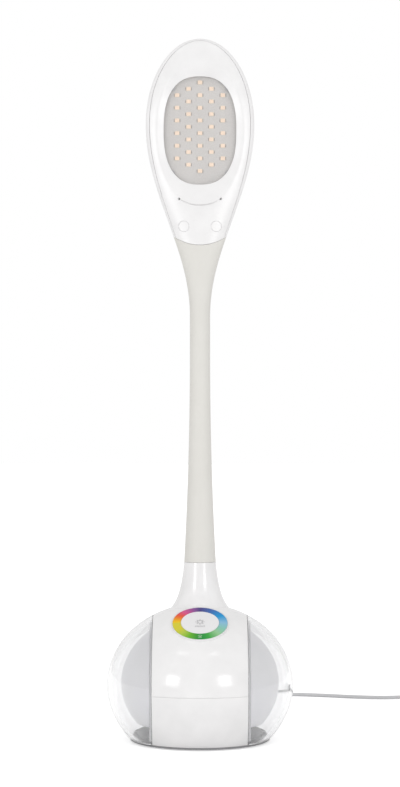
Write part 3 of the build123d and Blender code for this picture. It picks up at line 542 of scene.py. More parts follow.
def on_egg(sizes, u, v, height):
    """Points over the touch ring's plane (u across, v up the slope), raised from the touch panel by a height.

    A line from (u, v) along the plane's normal meets the egg where a quadratic in its length is 0. The panel
    is flatter than the egg: it lies half way from the egg to the plane.
    """
    plane = np.array(ring_frame(sizes))
    flat = plane[:3, 3] + u[..., None] * plane[:3, 0] + v[..., None] * plane[:3, 1]
    normal = plane[:3, 2]
    scale = 1 / np.array([sizes.radius, sizes.radius, sizes.half_height])
    start = (flat - np.array([0, 0, sizes.centre_z])) * scale
    way = normal * scale
    a, b, c = way @ way, 2 * start @ way, np.sum(start**2, axis=-1) - 1
    reach = (-b + np.sqrt(b * b - 4 * a * c)) / (2 * a)
    return flat + (reach / 2 + height)[..., None] * normal


def half_cosine(z, low, high):
    """0 at low, 1 at high, and half a cosine wave between them."""
    return (1 - np.cos(np.pi * np.clip((z - low) / (high - low), 0, 1))) / 2


def head_depths(sizes, z):
    """Half width, back depth and front depth of the head at each height.

    From the neck they follow half a cosine wave; above the widest line, a half ellipse and a blunter curve.
    """
    ramp = half_cosine(z, sizes.root_z, sizes.wide_z)
    waist = sizes.sleeve_waist_radius
    share = np.clip((z - sizes.wide_z) / (sizes.top_z - sizes.wide_z), 0, 1)
    power = 2.7
    tip, blunt = np.sqrt(1 - share**2), (1 - share**power) ** (1 / power)
    wide = (waist + (sizes.half_width - waist) * ramp) * tip
    back = (waist + (sizes.back_depth - waist) * ramp) * blunt
    front = (waist + (sizes.front_depth - waist) * ramp) * blunt
    return wide, back, front


def lip_height(sizes, x):
    """Height of the sleeve's upper edge, an arc seen from the front."""
    return sizes.lip_z + sizes.lip_radius - np.sqrt(np.clip(sizes.lip_radius**2 - x**2, 0, None))


def head_points(sizes, neck_y, turn, z):
    """Points of the head: half ellipses behind and before the neck's axis. turn 0 is +X, a half turn -X."""
    wide, back, front = head_depths(sizes, z)
    side = np.sin(turn)
    depth = np.where(side > 0, back, front) * side
    return np.stack([wide * np.cos(turn), neck_y + depth, z], -1)


def superellipse_reach(turn, half_width, half_height, power):
    """Distance from a superellipse's middle to its outline in each direction."""
    across, along = np.abs(np.cos(turn)) / half_width, np.abs(np.sin(turn)) / half_height
    return (across**power + along**power) ** (-1 / power)


# ---- Base ----------------------------------------------------------------------------------------
def band_patch(sizes, low_z, high_z=None, back=False, inset=0.0):
    """The egg between the band's edges. Each slice across X is an ellipse about the band's middle.

    Without high_z it runs from low_z at the front over the top to the back. An inset draws the egg in.
    """
    x = np.linspace(-sizes.band_half_width, sizes.band_half_width, 65)
    radius, half_height = sizes.radius - inset, sizes.half_height - inset
    shrink = np.sqrt(1 - (x / radius) ** 2)
    low = np.arcsin((low_z - sizes.centre_z) / (half_height * shrink))
    if high_z is None:
        high = np.pi - low
        rows = 161
    else:
        high = np.arcsin((high_z - sizes.centre_z) / (half_height * shrink))
        rows = 49
    turn = low + (high - low) * np.linspace(0, 1, rows)[:, None]
    side = 1 if back else -1
    points = np.empty((rows, len(x), 3))
    points[..., 0] = x
    points[..., 1] = side * radius * shrink * np.cos(turn)
    points[..., 2] = sizes.centre_z + half_height * shrink * np.sin(turn)
    return facing_out(grid(points), (0, side * 0.5 * radius if high_z else 0, sizes.centre_z))


def collar_patch(sizes):
    """The collar: a flaring tube whose foot runs out on the egg without a corner.

    Its radius is a cubic of the height in two spans. Below the foot, each meridian is a cubic that leaves the
    collar along its slope and arrives on the egg along the egg's slope.
    """
    turn = np.linspace(0, 2 * np.pi, 128, endpoint=False)
    rise = np.linspace(0, 1, 25)[:, None]
    foot_slope = -0.62
    knots = (  # height, radius, and the radius's change with height
        (sizes.collar_foot_z, sizes.collar_foot_radius, foot_slope),
        (sizes.collar_waist_z, sizes.collar_waist_radius, -0.27),
        (sizes.collar_top_z, sizes.collar_top_radius, -0.1),
    )
    radius, height = [], []
    for (low_z, low_radius, low_slope), (high_z, high_radius, high_slope) in zip(knots, knots[1:]):
        span = high_z - low_z
        radius.append(hermite(low_radius, low_slope * span, high_radius, high_slope * span, rise))
        height.append(low_z + span * rise)
    radius = np.concatenate([radius[0][:-1], radius[1]]) * np.ones_like(turn)
    height = np.concatenate([height[0][:-1], height[1]]) * np.ones_like(turn)

    spread, step = sizes.collar_spread, 0.5 * MM
    landing = [
        egg_height(sizes, reach * np.cos(turn), sizes.neck_y + reach * np.sin(turn))
        for reach in (spread, spread - step)
    ]
    egg_slope = (landing[1] - landing[0]) / step
    pull, sunk = 1.6 * MM, 0.05 * MM  # strength of the curve's end slopes, and how deep it starts in the egg
    run = np.linspace(0, 1, 17)[:-1, None]
    foot_radius = hermite(spread, -pull, sizes.collar_foot_radius, foot_slope * pull, run)
    foot_height = hermite(landing[0] - sunk, pull * egg_slope, sizes.collar_foot_z, pull, run)
    radius = np.concatenate([foot_radius * np.ones_like(turn), radius])
    height = np.concatenate([foot_height, height])
    points = np.stack([radius * np.cos(turn), sizes.neck_y + radius * np.sin(turn), height], -1)
    return facing_out(grid(points, wrap_columns=True), (0, sizes.neck_y, sizes.collar_waist_z))


def dome_patch(sign, egg, rim_x, low_z, floor):
    """Part of an egg outside rim_x and above low_z, turned about the X axis from its pole to its rim.

    Without a floor the rim follows the lower cut, so the tilt at the rim is the smaller of the two that reach
    rim_x and low_z. With a floor, what would lie below low_z is laid flat on it.
    """
    radius, half_height, centre_z = egg
    around = np.linspace(0, 2 * np.pi, 289)[:-1]
    end = np.full_like(around, math.acos(rim_x / radius))
    down = -np.sin(around)
    if not floor:
        drop = (centre_z - low_z) / half_height
        at_cut = np.arcsin(np.clip(drop / np.maximum(down, drop), 0, 1))
        end = np.where(down > drop, np.minimum(end, at_cut), end)
    tilt = end * np.linspace(0, 1, 121)[:, None]
    points = np.empty((*tilt.shape, 3))
    points[..., 0] = sign * radius * np.cos(tilt)
    points[..., 1] = radius * np.sin(tilt) * np.cos(around)
    points[..., 2] = np.maximum(centre_z + half_height * np.sin(tilt) * np.sin(around), low_z)
    return facing_out(grid(points, wrap_columns=True), (sign * rim_x, 0, centre_z))


def side_frame_surface(sizes, sign, inner_x, outer_x, low_z, hole):
    """A thick oval plate that fits inside the clear dome, with a round hole for its wires.

    Its outline at each x is the ellipse of an egg that is smaller by the dome's wall and a clearance, cut off
    flat at low_z and drawn in by the bevel at both faces.
    """
    around = np.linspace(0, 2 * np.pi, 129)[:-1]
    bevel = 0.3 * MM
    inset = sizes.clear_wall + 0.15 * MM
    radius, half_height = sizes.radius - inset, sizes.half_height - inset
    rows = []
    for x, drawn_in, at_hole in (
        (inner_x, 0, True), (inner_x, bevel, False), (inner_x + bevel, 0, False),
        (outer_x - bevel, 0, False), (outer_x, bevel, False), (outer_x, 0, True),
    ):
        if at_hole:
            y, z = hole * np.cos(around), sizes.frosted_centre_z + hole * np.sin(around)
        else:
            shrink = math.sqrt(1 - (x / radius) ** 2)
            y = (radius * shrink - drawn_in) * np.cos(around)
            z = np.maximum(sizes.centre_z + (half_height * shrink - drawn_in) * np.sin(around), low_z)
        rows.append(np.stack([np.full_like(around, sign * x), y, z], -1))
    return grid(np.array(rows), wrap_rows=True, wrap_columns=True)


def ring_piece(sizes, inner, outer):
    """A ring, or a disc where inner is 0, that follows the touch panel and stands a little proud of it.

    Its profile has quarter-circle edges and is turned about the touch ring's middle.
    """
    proud, depth, edge = 0.1 * MM, 3.0 * MM, 0.18 * MM
    turn = np.linspace(0, 2 * np.pi, 144, endpoint=False)
    quarter = np.linspace(0, np.pi / 2, 5)
    outer_edge = [(outer - edge + edge * math.cos(a), proud - edge + edge * math.sin(a)) for a in quarter]
    if inner:
        inner_edge = [(inner + edge - edge * math.sin(a), proud - edge + edge * math.cos(a)) for a in quarter]
        middle = [(outer + (inner - outer) * s, proud) for s in np.linspace(0.1, 0.9, 7)]
        profile = [(outer, -depth)] + outer_edge + middle + inner_edge + [(inner, -depth)]
    else:
        middle = [(outer * s, proud) for s in np.linspace(0.95, 0.0, 14)]
        under = [(outer * s, -depth) for s in np.linspace(0.0, 0.95, 8)]
        profile = [(outer, -depth)] + outer_edge + middle + under
    radius, height = np.array(profile).T[:, :, None]
    u, v = radius * np.cos(turn), radius * np.sin(turn)
    points = on_egg(sizes, u, v, height * np.ones_like(u))
    return grid(points, wrap_rows=True, wrap_columns=True)


def icon_band(sizes, centre, inner, outer, start, end, steps):
    """A printed arc on the button or ring: part of a flat ring about its own centre, angles in degrees."""
    turn = np.radians(np.linspace(start, end, steps))[None, :]
    radius = np.array([inner, outer])[:, None]
    u, v = centre[0] + radius * np.cos(turn), centre[1] + radius * np.sin(turn)
    return facing_out(grid(on_egg(sizes, u, v, np.full_like(u, PRINT_HEIGHT))), (0, 0, sizes.centre_z))


def add_lettering(sizes, words, centre, size, material):
    """Printed words, made a mesh, bent to the touch panel and laid just over the button."""
    text = bpy.data.curves.new("switch_words", "FONT")
    text.body = words
    text.size = size
    text.align_x = text.align_y = "CENTER"
    holder = bpy.data.objects.new("switch_words", text)
    bpy.context.collection.objects.link(holder)
    bpy.context.view_layer.update()
    mesh = bpy.data.meshes.new_from_object(holder)
    bpy.data.objects.remove(holder)
    flat = np.empty(len(mesh.vertices) * 3)
    mesh.vertices.foreach_get("co", flat)
    flat = flat.reshape(-1, 3)
    u, v = flat[:, 0] + centre[0], flat[:, 1] + centre[1]
    mesh.vertices.foreach_set("co", on_egg(sizes, u, v, np.full_like(u, PRINT_HEIGHT)).ravel())
    mesh.update()
    piece = bpy.data.objects.new("switch_lettering", mesh)
    bpy.context.collection.objects.link(piece)
    return settle(piece, "base", material)


def add_signs(sizes, ink_code):
    """Prints a sun and two words on the button, and a dot between two arcs on the ring."""
    ink = soft_plastic("printed_ink", ink_code, 0.4)
    sun, ray_count, half_ray = (0.0, -0.4 * MM), 8, 6
    marks = [icon_band(sizes, sun, 1.45 * MM, 1.85 * MM, 0, 360, 33)]
    for ray in range(ray_count):
        turn = 360 * ray / ray_count
        marks.append(icon_band(sizes, sun, 2.35 * MM, 3.05 * MM, turn - half_ray, turn + half_ray, 4))
    settle(add_mesh("sun_icon", marks, closed=False), "base", ink)
    add_lettering(sizes, "ON/OFF", (0, -5.4 * MM), 1.9 * MM, ink)

    pale_ink = soft_plastic("printed_pale_ink", "B9E3B4", 0.4)
    dot = (0, -16.0 * MM)
    marks = [
        icon_band(sizes, dot, 1.15 * MM, 1.5 * MM, 20, 160, 16),
        icon_band(sizes, dot, 1.15 * MM, 1.5 * MM, 200, 340, 16),
        icon_band(sizes, dot, 0.0, 0.5 * MM, 0, 360, 16),
    ]
    settle(add_mesh("mode_icon", marks, closed=False), "base", pale_ink)


class LAMP_OT_band(bpy.types.Operator):
    """Adds the white band's upper shell with its collar, its lower shell and the lip behind their joint"""

    bl_idname = "lamp.band"
    bl_label = "Band and collar"

    def execute(self, context):
        sizes, colours = context.scene.lamp_base, context.scene.lamp_colours
        abs_white = moulded_abs("gloss_abs", colours.shell)
        half_gap, edge, collar_wall = sizes.seam_gap / 2, 0.2 * MM, 0.6 * sizes.band_wall
        top = add_mesh("upper_shell", [band_patch(sizes, sizes.seam_z + half_gap)], closed=False)
        thicken(top, sizes.band_wall, edge)
        collar = add_mesh("collar", [collar_patch(sizes)], closed=False)
        thicken(collar, collar_wall, edge=0.4 * MM)
        settle(top, "base", abs_white, ["base_top_shell"])
        settle(collar, "base", abs_white, ())
        low, high = sizes.bottom_z, sizes.seam_z - half_gap
        walls = [band_patch(sizes, low, high, back) for back in (False, True)]
        bottom = add_mesh("lower_shell", walls, closed=False)
        thicken(bottom, sizes.band_wall, edge)
        settle(bottom, "base", abs_white, ["base_bottom_shell"])
        reach, sunk, lip_wall = 2 * MM, 0.5 * MM, 0.8 * MM
        low, high = sizes.seam_z - reach, sizes.seam_z + reach
        lap = [band_patch(sizes, low, high, back, sunk) for back in (False, True)]
        tongue = add_mesh("seam_tongue", lap, closed=False)
        thicken(tongue, lip_wall, edge=0)
        settle(tongue, "base", abs_white, ())
        return {"FINISHED"}


class LAMP_OT_domes(bpy.types.Operator):
    """Adds the clear domes, the frosted domes inside them and the frames that hold both"""

    bl_idname = "lamp.domes"
    bl_label = "Domes and side frames"

    def execute(self, context):
        sizes, colours = context.scene.lamp_base, context.scene.lamp_colours
        clear, frosted = clear_acrylic(), frosted_acrylic(colours.frosted)
        frame_plastic = soft_plastic("moulded_frame_plastic", colours.frame, 0.4)
        egg = (sizes.radius, sizes.half_height, sizes.centre_z)
        inner_egg = (sizes.frosted_radius, sizes.frosted_half_height, sizes.frosted_centre_z)
        for side, sign in (("left", -1), ("right", 1)):
            low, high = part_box(f"side_frame_{side}")
            frame_x = sorted((abs(low[0]), abs(high[0])))
            surface = dome_patch(sign, egg, sizes.clear_rim_x, sizes.bottom_z, floor=False)
            dome = add_mesh(f"outer_dome_{side}", [surface], closed=False)
            thicken(dome, sizes.clear_wall, edge=0.35 * MM)
            settle(dome, "base", clear, [f"clear_dome_{side}"])
            surface = dome_patch(sign, inner_egg, frame_x[1], sizes.frosted_bottom_z, floor=True)
            inner = add_mesh(f"inner_dome_{side}", [surface], closed=False)
            thicken(inner, sizes.frosted_wall, edge=0.3 * MM)
            settle(inner, "base", frosted, [f"frosted_dome_{side}"])
            surface = side_frame_surface(sizes, sign, *frame_x, low[2], hole=5 * MM)
            plate = add_mesh(f"dome_frame_{side}", [surface])
            settle(plate, "base", frame_plastic, [f"side_frame_{side}"])
        return {"FINISHED"}


class LAMP_OT_underside(bpy.types.Operator):
    """Adds the plate under the base and its rubber feet"""

    bl_idname = "lamp.underside"
    bl_label = "Base plate and feet"

    def execute(self, context):
        colours = context.scene.lamp_colours
        low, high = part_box("base_plate")
        flange, lift = high[0], low[2]
        edge, rim_z, raised, top_z = 0.4 * MM, lift + 1.4 * MM, 44.3 * MM, 6.0 * MM
        profile = [
            (0, lift), (flange - 2 * edge, lift), (flange - edge / 2, lift + edge), (flange, rim_z),
            (raised, rim_z + edge / 4), (raised, top_z - edge), (raised - edge, top_z), (0, top_z),
        ]
        plate = add_mesh("under_plate", [revolve(profile, columns=192)])
        dark = soft_plastic("textured_dark_abs", colours.plate, 0.3, grain=0.8 * MM, depth=0.008 * MM)
        settle(plate, "base", dark, ["base_plate"])
        low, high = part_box("rubber_feet")
        circle, radius, height = 36 * MM, 6 * MM, high[2]
        pad = [(0, 0), (radius - edge, 0), (radius, edge), (radius, height), (0, height)]
        feet = []
        for quarter in range(4):
            turn = math.radians(45 + 90 * quarter)
            feet.append(revolve(pad, 48, (circle * math.cos(turn), circle * math.sin(turn))))
        rubber = soft_plastic("moulded_rubber", "232324", 0.8, grain=0.7 * MM, depth=0.02 * MM)
        settle(add_mesh("foot_pads", feet), "base", rubber, ["rubber_feet"])
        return {"FINISHED"}


class LAMP_OT_touch_ring(bpy.types.Operator):
    """Adds the colour ring, the touch button, and the icons printed on them"""

    bl_idname = "lamp.touch_ring"
    bl_label = "Touch ring"

    def execute(self, context):
        sizes, colours = context.scene.lamp_base, context.scene.lamp_colours
        plane = ring_frame(sizes)
        rim_width = 0.55 * MM
        white_film = moulded_abs("gloss_film", "F6F6F6", 0.12)
        printed = printed_colours(plane)
        rim = add_mesh("ring_outline", [ring_piece(sizes, sizes.ring_radius, sizes.ring_radius + rim_width)])
        settle(rim, "base", white_film, ())
        ring = add_mesh("touch_ring", [ring_piece(sizes, sizes.ring_inner_radius, sizes.ring_radius)])
        settle(ring, "base", printed, ["colour_ring"])
        button = add_mesh("touch_plate", [ring_piece(sizes, 0, sizes.button_radius)])
        button_white = moulded_abs("satin_button", "EEEDEE", 0.24, shade="EEEDEE")
        settle(button, "base", button_white, ["touch_button"])
        add_signs(sizes, colours.ink)
        return {"FINISHED"}


# ---- Neck ----------------------------------------------------------------------------------------
def sleeve_radius(head, base, z):
    """Radius of the sleeve, which narrows along a parabola from the collar to its waist."""
    share = np.clip((head.sleeve_waist_z - z) / (head.sleeve_waist_z - base.collar_top_z), 0, None)
    return head.sleeve_waist_radius + (head.sleeve_root_radius - head.sleeve_waist_radius) * share**2


def sleeve_patch(head, base, low_z, high_z):
    """A round stretch of the sleeve between two heights, its radius worked out at each height."""
    turn = np.linspace(0, 2 * np.pi, 72, endpoint=False)
    z = np.linspace(low_z, high_z, 15)[:, None]
    radius = sleeve_radius(head, base, z)
    points = np.stack(
        [radius * np.cos(turn), base.neck_y + radius * np.sin(turn), z * np.ones_like(turn)], -1
    )
    return facing_out(grid(points, wrap_columns=True), (0, base.neck_y, (low_z + high_z) / 2))


def flare_patch(head, base, low_z):
    """The sleeve's last stretch, which widens with the head up to the arc of its upper edge.

    A column's top is where its own point meets the arc, found by repeating height = lip(x(height)).
    """
    turn = np.linspace(0, 2 * np.pi, 144, endpoint=False)
    top = np.full_like(turn, head.lip_z)
    for _ in range(40):
        wide = head_depths(head, top)[0]
        top = lip_height(head, wide * np.cos(turn)) - PARTING_GAP
    z = low_z + (top - low_z) * np.linspace(0, 1, 73)[:, None]
    points = head_points(head, base.neck_y, turn * np.ones_like(z), z)
    return facing_out(grid(points, wrap_columns=True), (0, base.neck_y, low_z))


class LAMP_OT_neck(bpy.types.Operator):
    """Adds the silicone sleeve as stretches that each lie across one of the neck's joints"""

    bl_idname = "lamp.neck"
    bl_label = "Neck sleeve"

    def execute(self, context):
        base, head, colours = context.scene.lamp_base, context.scene.lamp_head, context.scene.lamp_colours
        silicone = silicone_sleeve(colours.sleeve)
        half = (BEND_HEIGHTS[1] - BEND_HEIGHTS[0]) / 2
        last, collar_gap = len(BEND_HEIGHTS) - 1, 0.15 * MM
        for bend, (height, (below, above)) in enumerate(zip(BEND_HEIGHTS, BEND_BODIES)):
            low_z = height - half if bend else base.collar_top_z + collar_gap
            if bend == last:
                patch = flare_patch(head, base, low_z)
            else:
                patch = sleeve_patch(head, base, low_z, height + half)
            stretch = add_mesh(f"neck_sleeve_{bend + 1}", [patch], closed=False)
            thicken(stretch, head.sleeve_wall, edge=0)
            nodes = ["sleeve_root" if bend == 0 else f"sleeve_{bend}"]
            if bend == last:
                nodes.append("sleeve_flare")
            settle(stretch, None, silicone, nodes, crease=40)
            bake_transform(stretch)  # puts the piece's placing into its points
        return {"FINISHED"}


# ---- Head ----------------------------------------------------------------------------------------
def rear_patch(head, neck_y):
    """The head behind its parting plane. Each height's columns run from one rim round the back to the other.

    The rim's angle is where the front half ellipse crosses the plane, and the lowest row lies on the lip's
    arc.
    """
    depth = neck_y - head.parting_y - PARTING_GAP
    share = np.linspace(0, 1, 145)

    def angles(z):
        """Each column's angle at the heights given."""
        front = head_depths(head, z)[2]
        rim = np.arcsin(np.clip(depth / np.maximum(front, TINY), 0, 1))
        return -rim + (np.pi + 2 * rim) * share

    low = np.full_like(share, head.lip_z)
    for _ in range(60):
        wide = head_depths(head, low)[0]
        low = lip_height(head, wide * np.cos(angles(low)))
    rise = np.sin(np.linspace(0, np.pi / 2, 121))[:, None]
    z = low + (head.top_z - low) * rise
    return facing_out(grid(head_points(head, neck_y, angles(z), z)), (0, neck_y + 2 * MM, head.wide_z))


def front_depth(head, neck_y, x, z):
    """Depth of the head's front surface."""
    wide, _, front = head_depths(head, z)
    share = 1 - (x / np.maximum(wide, TINY)) ** 2
    return neck_y - front * np.sqrt(np.clip(share, 0, 1))


def cover_patch(head, neck_y):
    """The front cover, on rays from the window's middle: the dish's slope, then the head's front surface.

    Each ray ends where the front surface reaches the parting line or the lip's arc, and two of the rays go to
    the corners where these meet. The two surfaces meet in a smooth maximum, half of (a + b + the root of
    (a - b) squared plus a small square), which rounds the dish's edge.
    """
    limit_y, lip_gap = head.parting_y - PARTING_GAP, 0.1 * MM

    def inside(x, z):
        """Whether points seen from the front lie on the cover."""
        on_front = (front_depth(head, neck_y, x, z) < limit_y) & (z < head.top_z)
        return on_front & (z > lip_height(head, x) + lip_gap)

    # The corner is the first point of the lip's arc that lies behind the parting line.
    arc = np.linspace(0, np.pi / 2, 4000)
    arc_x, arc_z = head.lip_radius * np.sin(arc), head.lip_z + head.lip_radius * (1 - np.cos(arc))
    corner = np.argmax(front_depth(head, neck_y, arc_x, arc_z) > limit_y)
    corner_turn = math.atan2(arc_z[corner] - head.window_z, arc_x[corner])
    turn = np.linspace(-np.pi, np.pi, 361)[:-1]
    turn = np.sort(np.concatenate([turn, [corner_turn, -np.pi - corner_turn]]))
    x_way, z_way = np.cos(turn), np.sin(turn)
    # Halving finds how far each ray goes.
    outer, beyond = np.zeros_like(turn), np.full_like(turn, head.half_width * 3)
    for _ in range(40):
        middle = (outer + beyond) / 2
        within = inside(middle * x_way, head.window_z + middle * z_way)
        outer, beyond = np.where(within, middle, outer), np.where(within, beyond, middle)

    window = superellipse_reach(turn, head.window_half_width, head.window_half_height, WINDOW_POWER)
    mouth = superellipse_reach(turn, head.dish_half_width, head.dish_half_height, power=2.0)
    mouth = mouth + (head.dish_z - head.window_z) * z_way
    fine_to = 0.62  # of each ray, past the dish's edge, where its points lie closer together
    share = np.concatenate([np.linspace(0, fine_to, 45), np.linspace(fine_to, 1, 30)[1:]])[:, None]
    reach = window + (outer - window) * share
    x, z = reach * x_way, head.window_z + reach * z_way
    slope = head.window_y + (head.dish_y - head.window_y) * (reach - window) / (mouth - window)
    front = front_depth(head, neck_y, x, z)
    rounding, window_wall = 0.35 * MM, 1.0 * MM
    y = (front + slope + np.sqrt((front - slope) ** 2 + rounding**2)) / 2
    wall = np.stack([x[0], np.full_like(turn, head.window_y + window_wall), z[0]], -1)[None]
    points = np.concatenate([wall, np.stack([x, y, z], -1)])
    return facing_out(grid(points, wrap_columns=True), (0, neck_y + 4 * head.wall, head.window_z))


def cutter_rings(x, z, deep_y):
    """An outline seen from the front, once before the head and once at deep_y."""
    rings = np.empty((2, len(x), 3))
    rings[..., 0], rings[..., 2] = x, z
    rings[..., 1] = np.array([BEFORE_HEAD, deep_y])[:, None]
    return rings


def slot_cutter(head, width, deep_y):
    """A smile-shaped bar between two arcs, half a width outside and inside the slot's own arc.

    Its ends are half circles, from the outer arc round to the inner one.
    """
    half_turn = math.asin(head.slot_half_chord / head.slot_radius)
    along = np.linspace(-half_turn, half_turn, 49)
    cap = np.linspace(0, np.pi, 9)[:, None]
    half = width / 2
    down = np.stack([np.sin(along), -np.cos(along)], -1)
    outer, inner = (head.slot_radius + half) * down, (head.slot_radius - half) * down
    outward = np.array([math.sin(half_turn), -math.cos(half_turn)])
    sideways = np.array([math.cos(half_turn), math.sin(half_turn)])
    right = head.slot_radius * outward + half * (np.cos(cap) * outward + np.sin(cap) * sideways)
    left = right[::-1] * [-1, 1]
    outline = np.concatenate([outer, right[1:-1], inner[::-1], left[1:-1]])
    return cutter_rings(outline[:, 0], head.slot_z + outline[:, 1], deep_y)


def hole_cutter(x, z, radius, deep_y):
    """A round bar that cuts a hole into the front cover."""
    turn = np.linspace(0, 2 * np.pi, 64, endpoint=False)
    return cutter_rings(x + radius * np.cos(turn), z + radius * np.sin(turn), deep_y)


def plug_surface(head, neck_y, x, z, depth):
    """A round plug that follows the head's front surface; a quarter circle rounds its rim.

    Each row is a circle of points, at its own radius and depth under that surface.
    """
    turn = np.linspace(0, 2 * np.pi, 64, endpoint=False)
    edge = 0.3 * MM
    quarter = np.linspace(np.pi / 2, 0, 5)
    rows = [(head.plug_radius * s, 0.0) for s in np.linspace(0, 0.88, 8)]
    rows += [(head.plug_radius - edge + edge * math.cos(a), edge - edge * math.sin(a)) for a in quarter]
    rows += [(head.plug_radius, depth), (0, depth)]
    points = np.empty((len(rows), len(turn), 3))
    for row, (radius, sunk) in enumerate(rows):
        px, pz = x + radius * np.cos(turn), z + radius * np.sin(turn)
        points[row] = np.stack([px, front_depth(head, neck_y, px, pz) + sunk, pz], -1)
    return grid(points, wrap_columns=True)


def window_surface(head, y, thickness, margin, bulge):
    """A superellipse's thin plate. Its front bulges by 1 minus the square of the distance from its middle."""
    turn = np.linspace(0, 2 * np.pi, 160, endpoint=False)
    half_width, half_height = head.window_half_width + margin, head.window_half_height + margin
    edge = superellipse_reach(turn, half_width, half_height, WINDOW_POWER)
    share = np.linspace(0, 1, 17)[:, None]
    rows = []
    for back in (False, True):
        s = share[::-1] if back else share
        reach = edge * s
        depth = y + thickness if back else y - bulge * (1 - s**2)
        x, z = reach * np.cos(turn), head.window_z + reach * np.sin(turn)
        rows.append(np.stack([x, depth * np.ones_like(reach), z], -1))
    return grid(np.concatenate(rows), wrap_columns=True)


def chip_places():
    """Middles of the light chips, seen from the front: staggered columns of 6, 7, 8, 7 and 6."""
    low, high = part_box("led_chips")
    columns = {-2: 6, -1: 7, 0: 8, 1: 7, 2: 6}
    pitch_x = (high[0] - low[0] - 2 * CHIP_HALF_WIDTH) / (len(columns) - 1)
    pitch_z = (high[2] - low[2] - 2 * CHIP_HALF_HEIGHT) / (max(columns.values()) - 1)
    middle = (high[2] + low[2]) / 2
    return [
        (column * pitch_x, middle + (row - (count - 1) / 2) * pitch_z)
        for column, count in columns.items()
        for row in range(count)
    ]


def chip_block(x, z, front_y, back_y, half_width, half_height, corner):
    """One small rounded block, its outline carried from back to front."""
    outline = rounded_box_outline(half_width, half_height, corner, steps=2)
    edge = 0.12 * MM
    stations = [(back_y, 0), (front_y + edge, 0), (front_y, edge)]
    return carried(
        outline,
        stations,
        lambda flat, y: np.stack([x + flat[:, 0], np.full(len(flat), y), z + flat[:, 1]], -1),
    )


class LAMP_OT_head(bpy.types.Operator):
    """Adds the head's rear shell, front cover and screw plugs"""

    bl_idname = "lamp.head"
    bl_label = "Head shells"

    def execute(self, context):
        base, head, colours = context.scene.lamp_base, context.scene.lamp_head, context.scene.lamp_colours
        white = moulded_abs("satin_abs", colours.shell, 0.28)
        rear = add_mesh("rear_shell", [rear_patch(head, base.neck_y)], closed=False)
        thicken(rear, head.wall, edge=0.35 * MM)
        settle(rear, "head", white, ["head_rear_shell"])
        cover = add_mesh("front_cover", [cover_patch(head, base.neck_y)], closed=False)
        thicken(cover, head.wall, edge=0.3 * MM)
        half_turn = math.asin(head.slot_half_chord / head.slot_radius)
        end_z = head.slot_z - head.slot_radius * math.cos(half_turn)
        plug_hole = head.plug_radius + 0.06 * MM
        for side in (-1, 1):
            rings = hole_cutter(side * head.slot_half_chord, end_z, radius=0.8 * MM, deep_y=3.2 * MM)
            cut(cover, add_prism("end_cutter", rings))
            rings = hole_cutter(side * head.plug_x, head.plug_z, plug_hole, deep_y=1.8 * MM)
            cut(cover, add_prism("plug_cutter", rings))
        cut(cover, add_prism("slot_cutter", slot_cutter(head, width=0.8 * MM, deep_y=0.5 * MM)))
        settle(cover, "head", white, ["head_front_cover"])
        plugs = [
            plug_surface(head, base.neck_y, side * head.plug_x, head.plug_z, depth=1.2 * MM)
            for side in (-1, 1)
        ]
        settle(add_mesh("plug_discs", plugs), "head", white, ["screw_plugs"])
        return {"FINISHED"}


class LAMP_OT_light(bpy.types.Operator):
    """Adds the hazy window, the light board and its chips"""

    bl_idname = "lamp.light"
    bl_label = "Light window and chips"

    def execute(self, context):
        head, colours = context.scene.lamp_head, context.scene.lamp_colours
        low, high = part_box("light_window")
        plate = window_surface(head, low[1], high[1] - low[1], margin=1.2 * MM, bulge=0.3 * MM)
        hazy = hazy_window(colours.window)
        settle(add_mesh("window_plate", [plate]), "head", hazy, ["light_window"])
        low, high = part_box("led_board")
        plate = window_surface(head, low[1], high[1] - low[1], margin=3.1 * MM, bulge=0)
        resist = circuit_board("grey_resist_board", "E0DDDB")
        settle(add_mesh("light_board", [plate]), "head", resist, ["led_board"])
        low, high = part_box("led_chips")
        front, back = low[1], high[1]
        package_y, resin_y, pad_y, pad_x = front + 0.1 * MM, front + 0.4 * MM, back - 0.25 * MM, 1.95 * MM
        places = chip_places()
        phosphor = phosphor_resin(colours.phosphor)
        package = soft_plastic("chip_package", "D8CFC4", 0.4)
        solder = metal("tinned_solder", "A8A29C", 0.35)
        bodies = [
            chip_block(x, z, package_y, back, CHIP_HALF_WIDTH, CHIP_HALF_HEIGHT, 0.2 * MM) for x, z in places
        ]
        settle(add_mesh("chip_packages", bodies), "head", package, ["led_chips"])
        resin = [chip_block(x, z, front, resin_y, CHIP_HALF_WIDTH, 1.35 * MM, 0.4 * MM) for x, z in places]
        settle(add_mesh("chip_phosphor", resin), "head", phosphor, ())
        pads = [
            chip_block(x + side * pad_x, z, pad_y, back, 0.45 * MM, 1.1 * MM, 0.1 * MM)
            for x, z in places
            for side in (-1, 1)
        ]
        settle(add_mesh("solder_pads", pads), "head", solder, ())
        return {"FINISHED"}


# ---- Lead, coil and adapter ----------------------------------------------------------------------
LEAD_ROUTE = np.array(
    [
        (0.0, 82.0, 16.0), (0.0, 94.0, 16.0), (0.6, 108.0, 12.6), (1.8, 123.0, 5.0), (3.6, 141.0, 1.5),
        (8.5, 164.0, 1.5), (20.0, 190.0, 1.5), (39.0, 213.5, 1.5), (66.0, 225.0, 1.5), (94.0, 219.5, 1.5),
        (121.0, 209.0, 1.5), (147.0, 201.5, 1.8), (168.0, 203.0, 2.6), (184.0, 203.0, 2.6),
    ]
) * MM


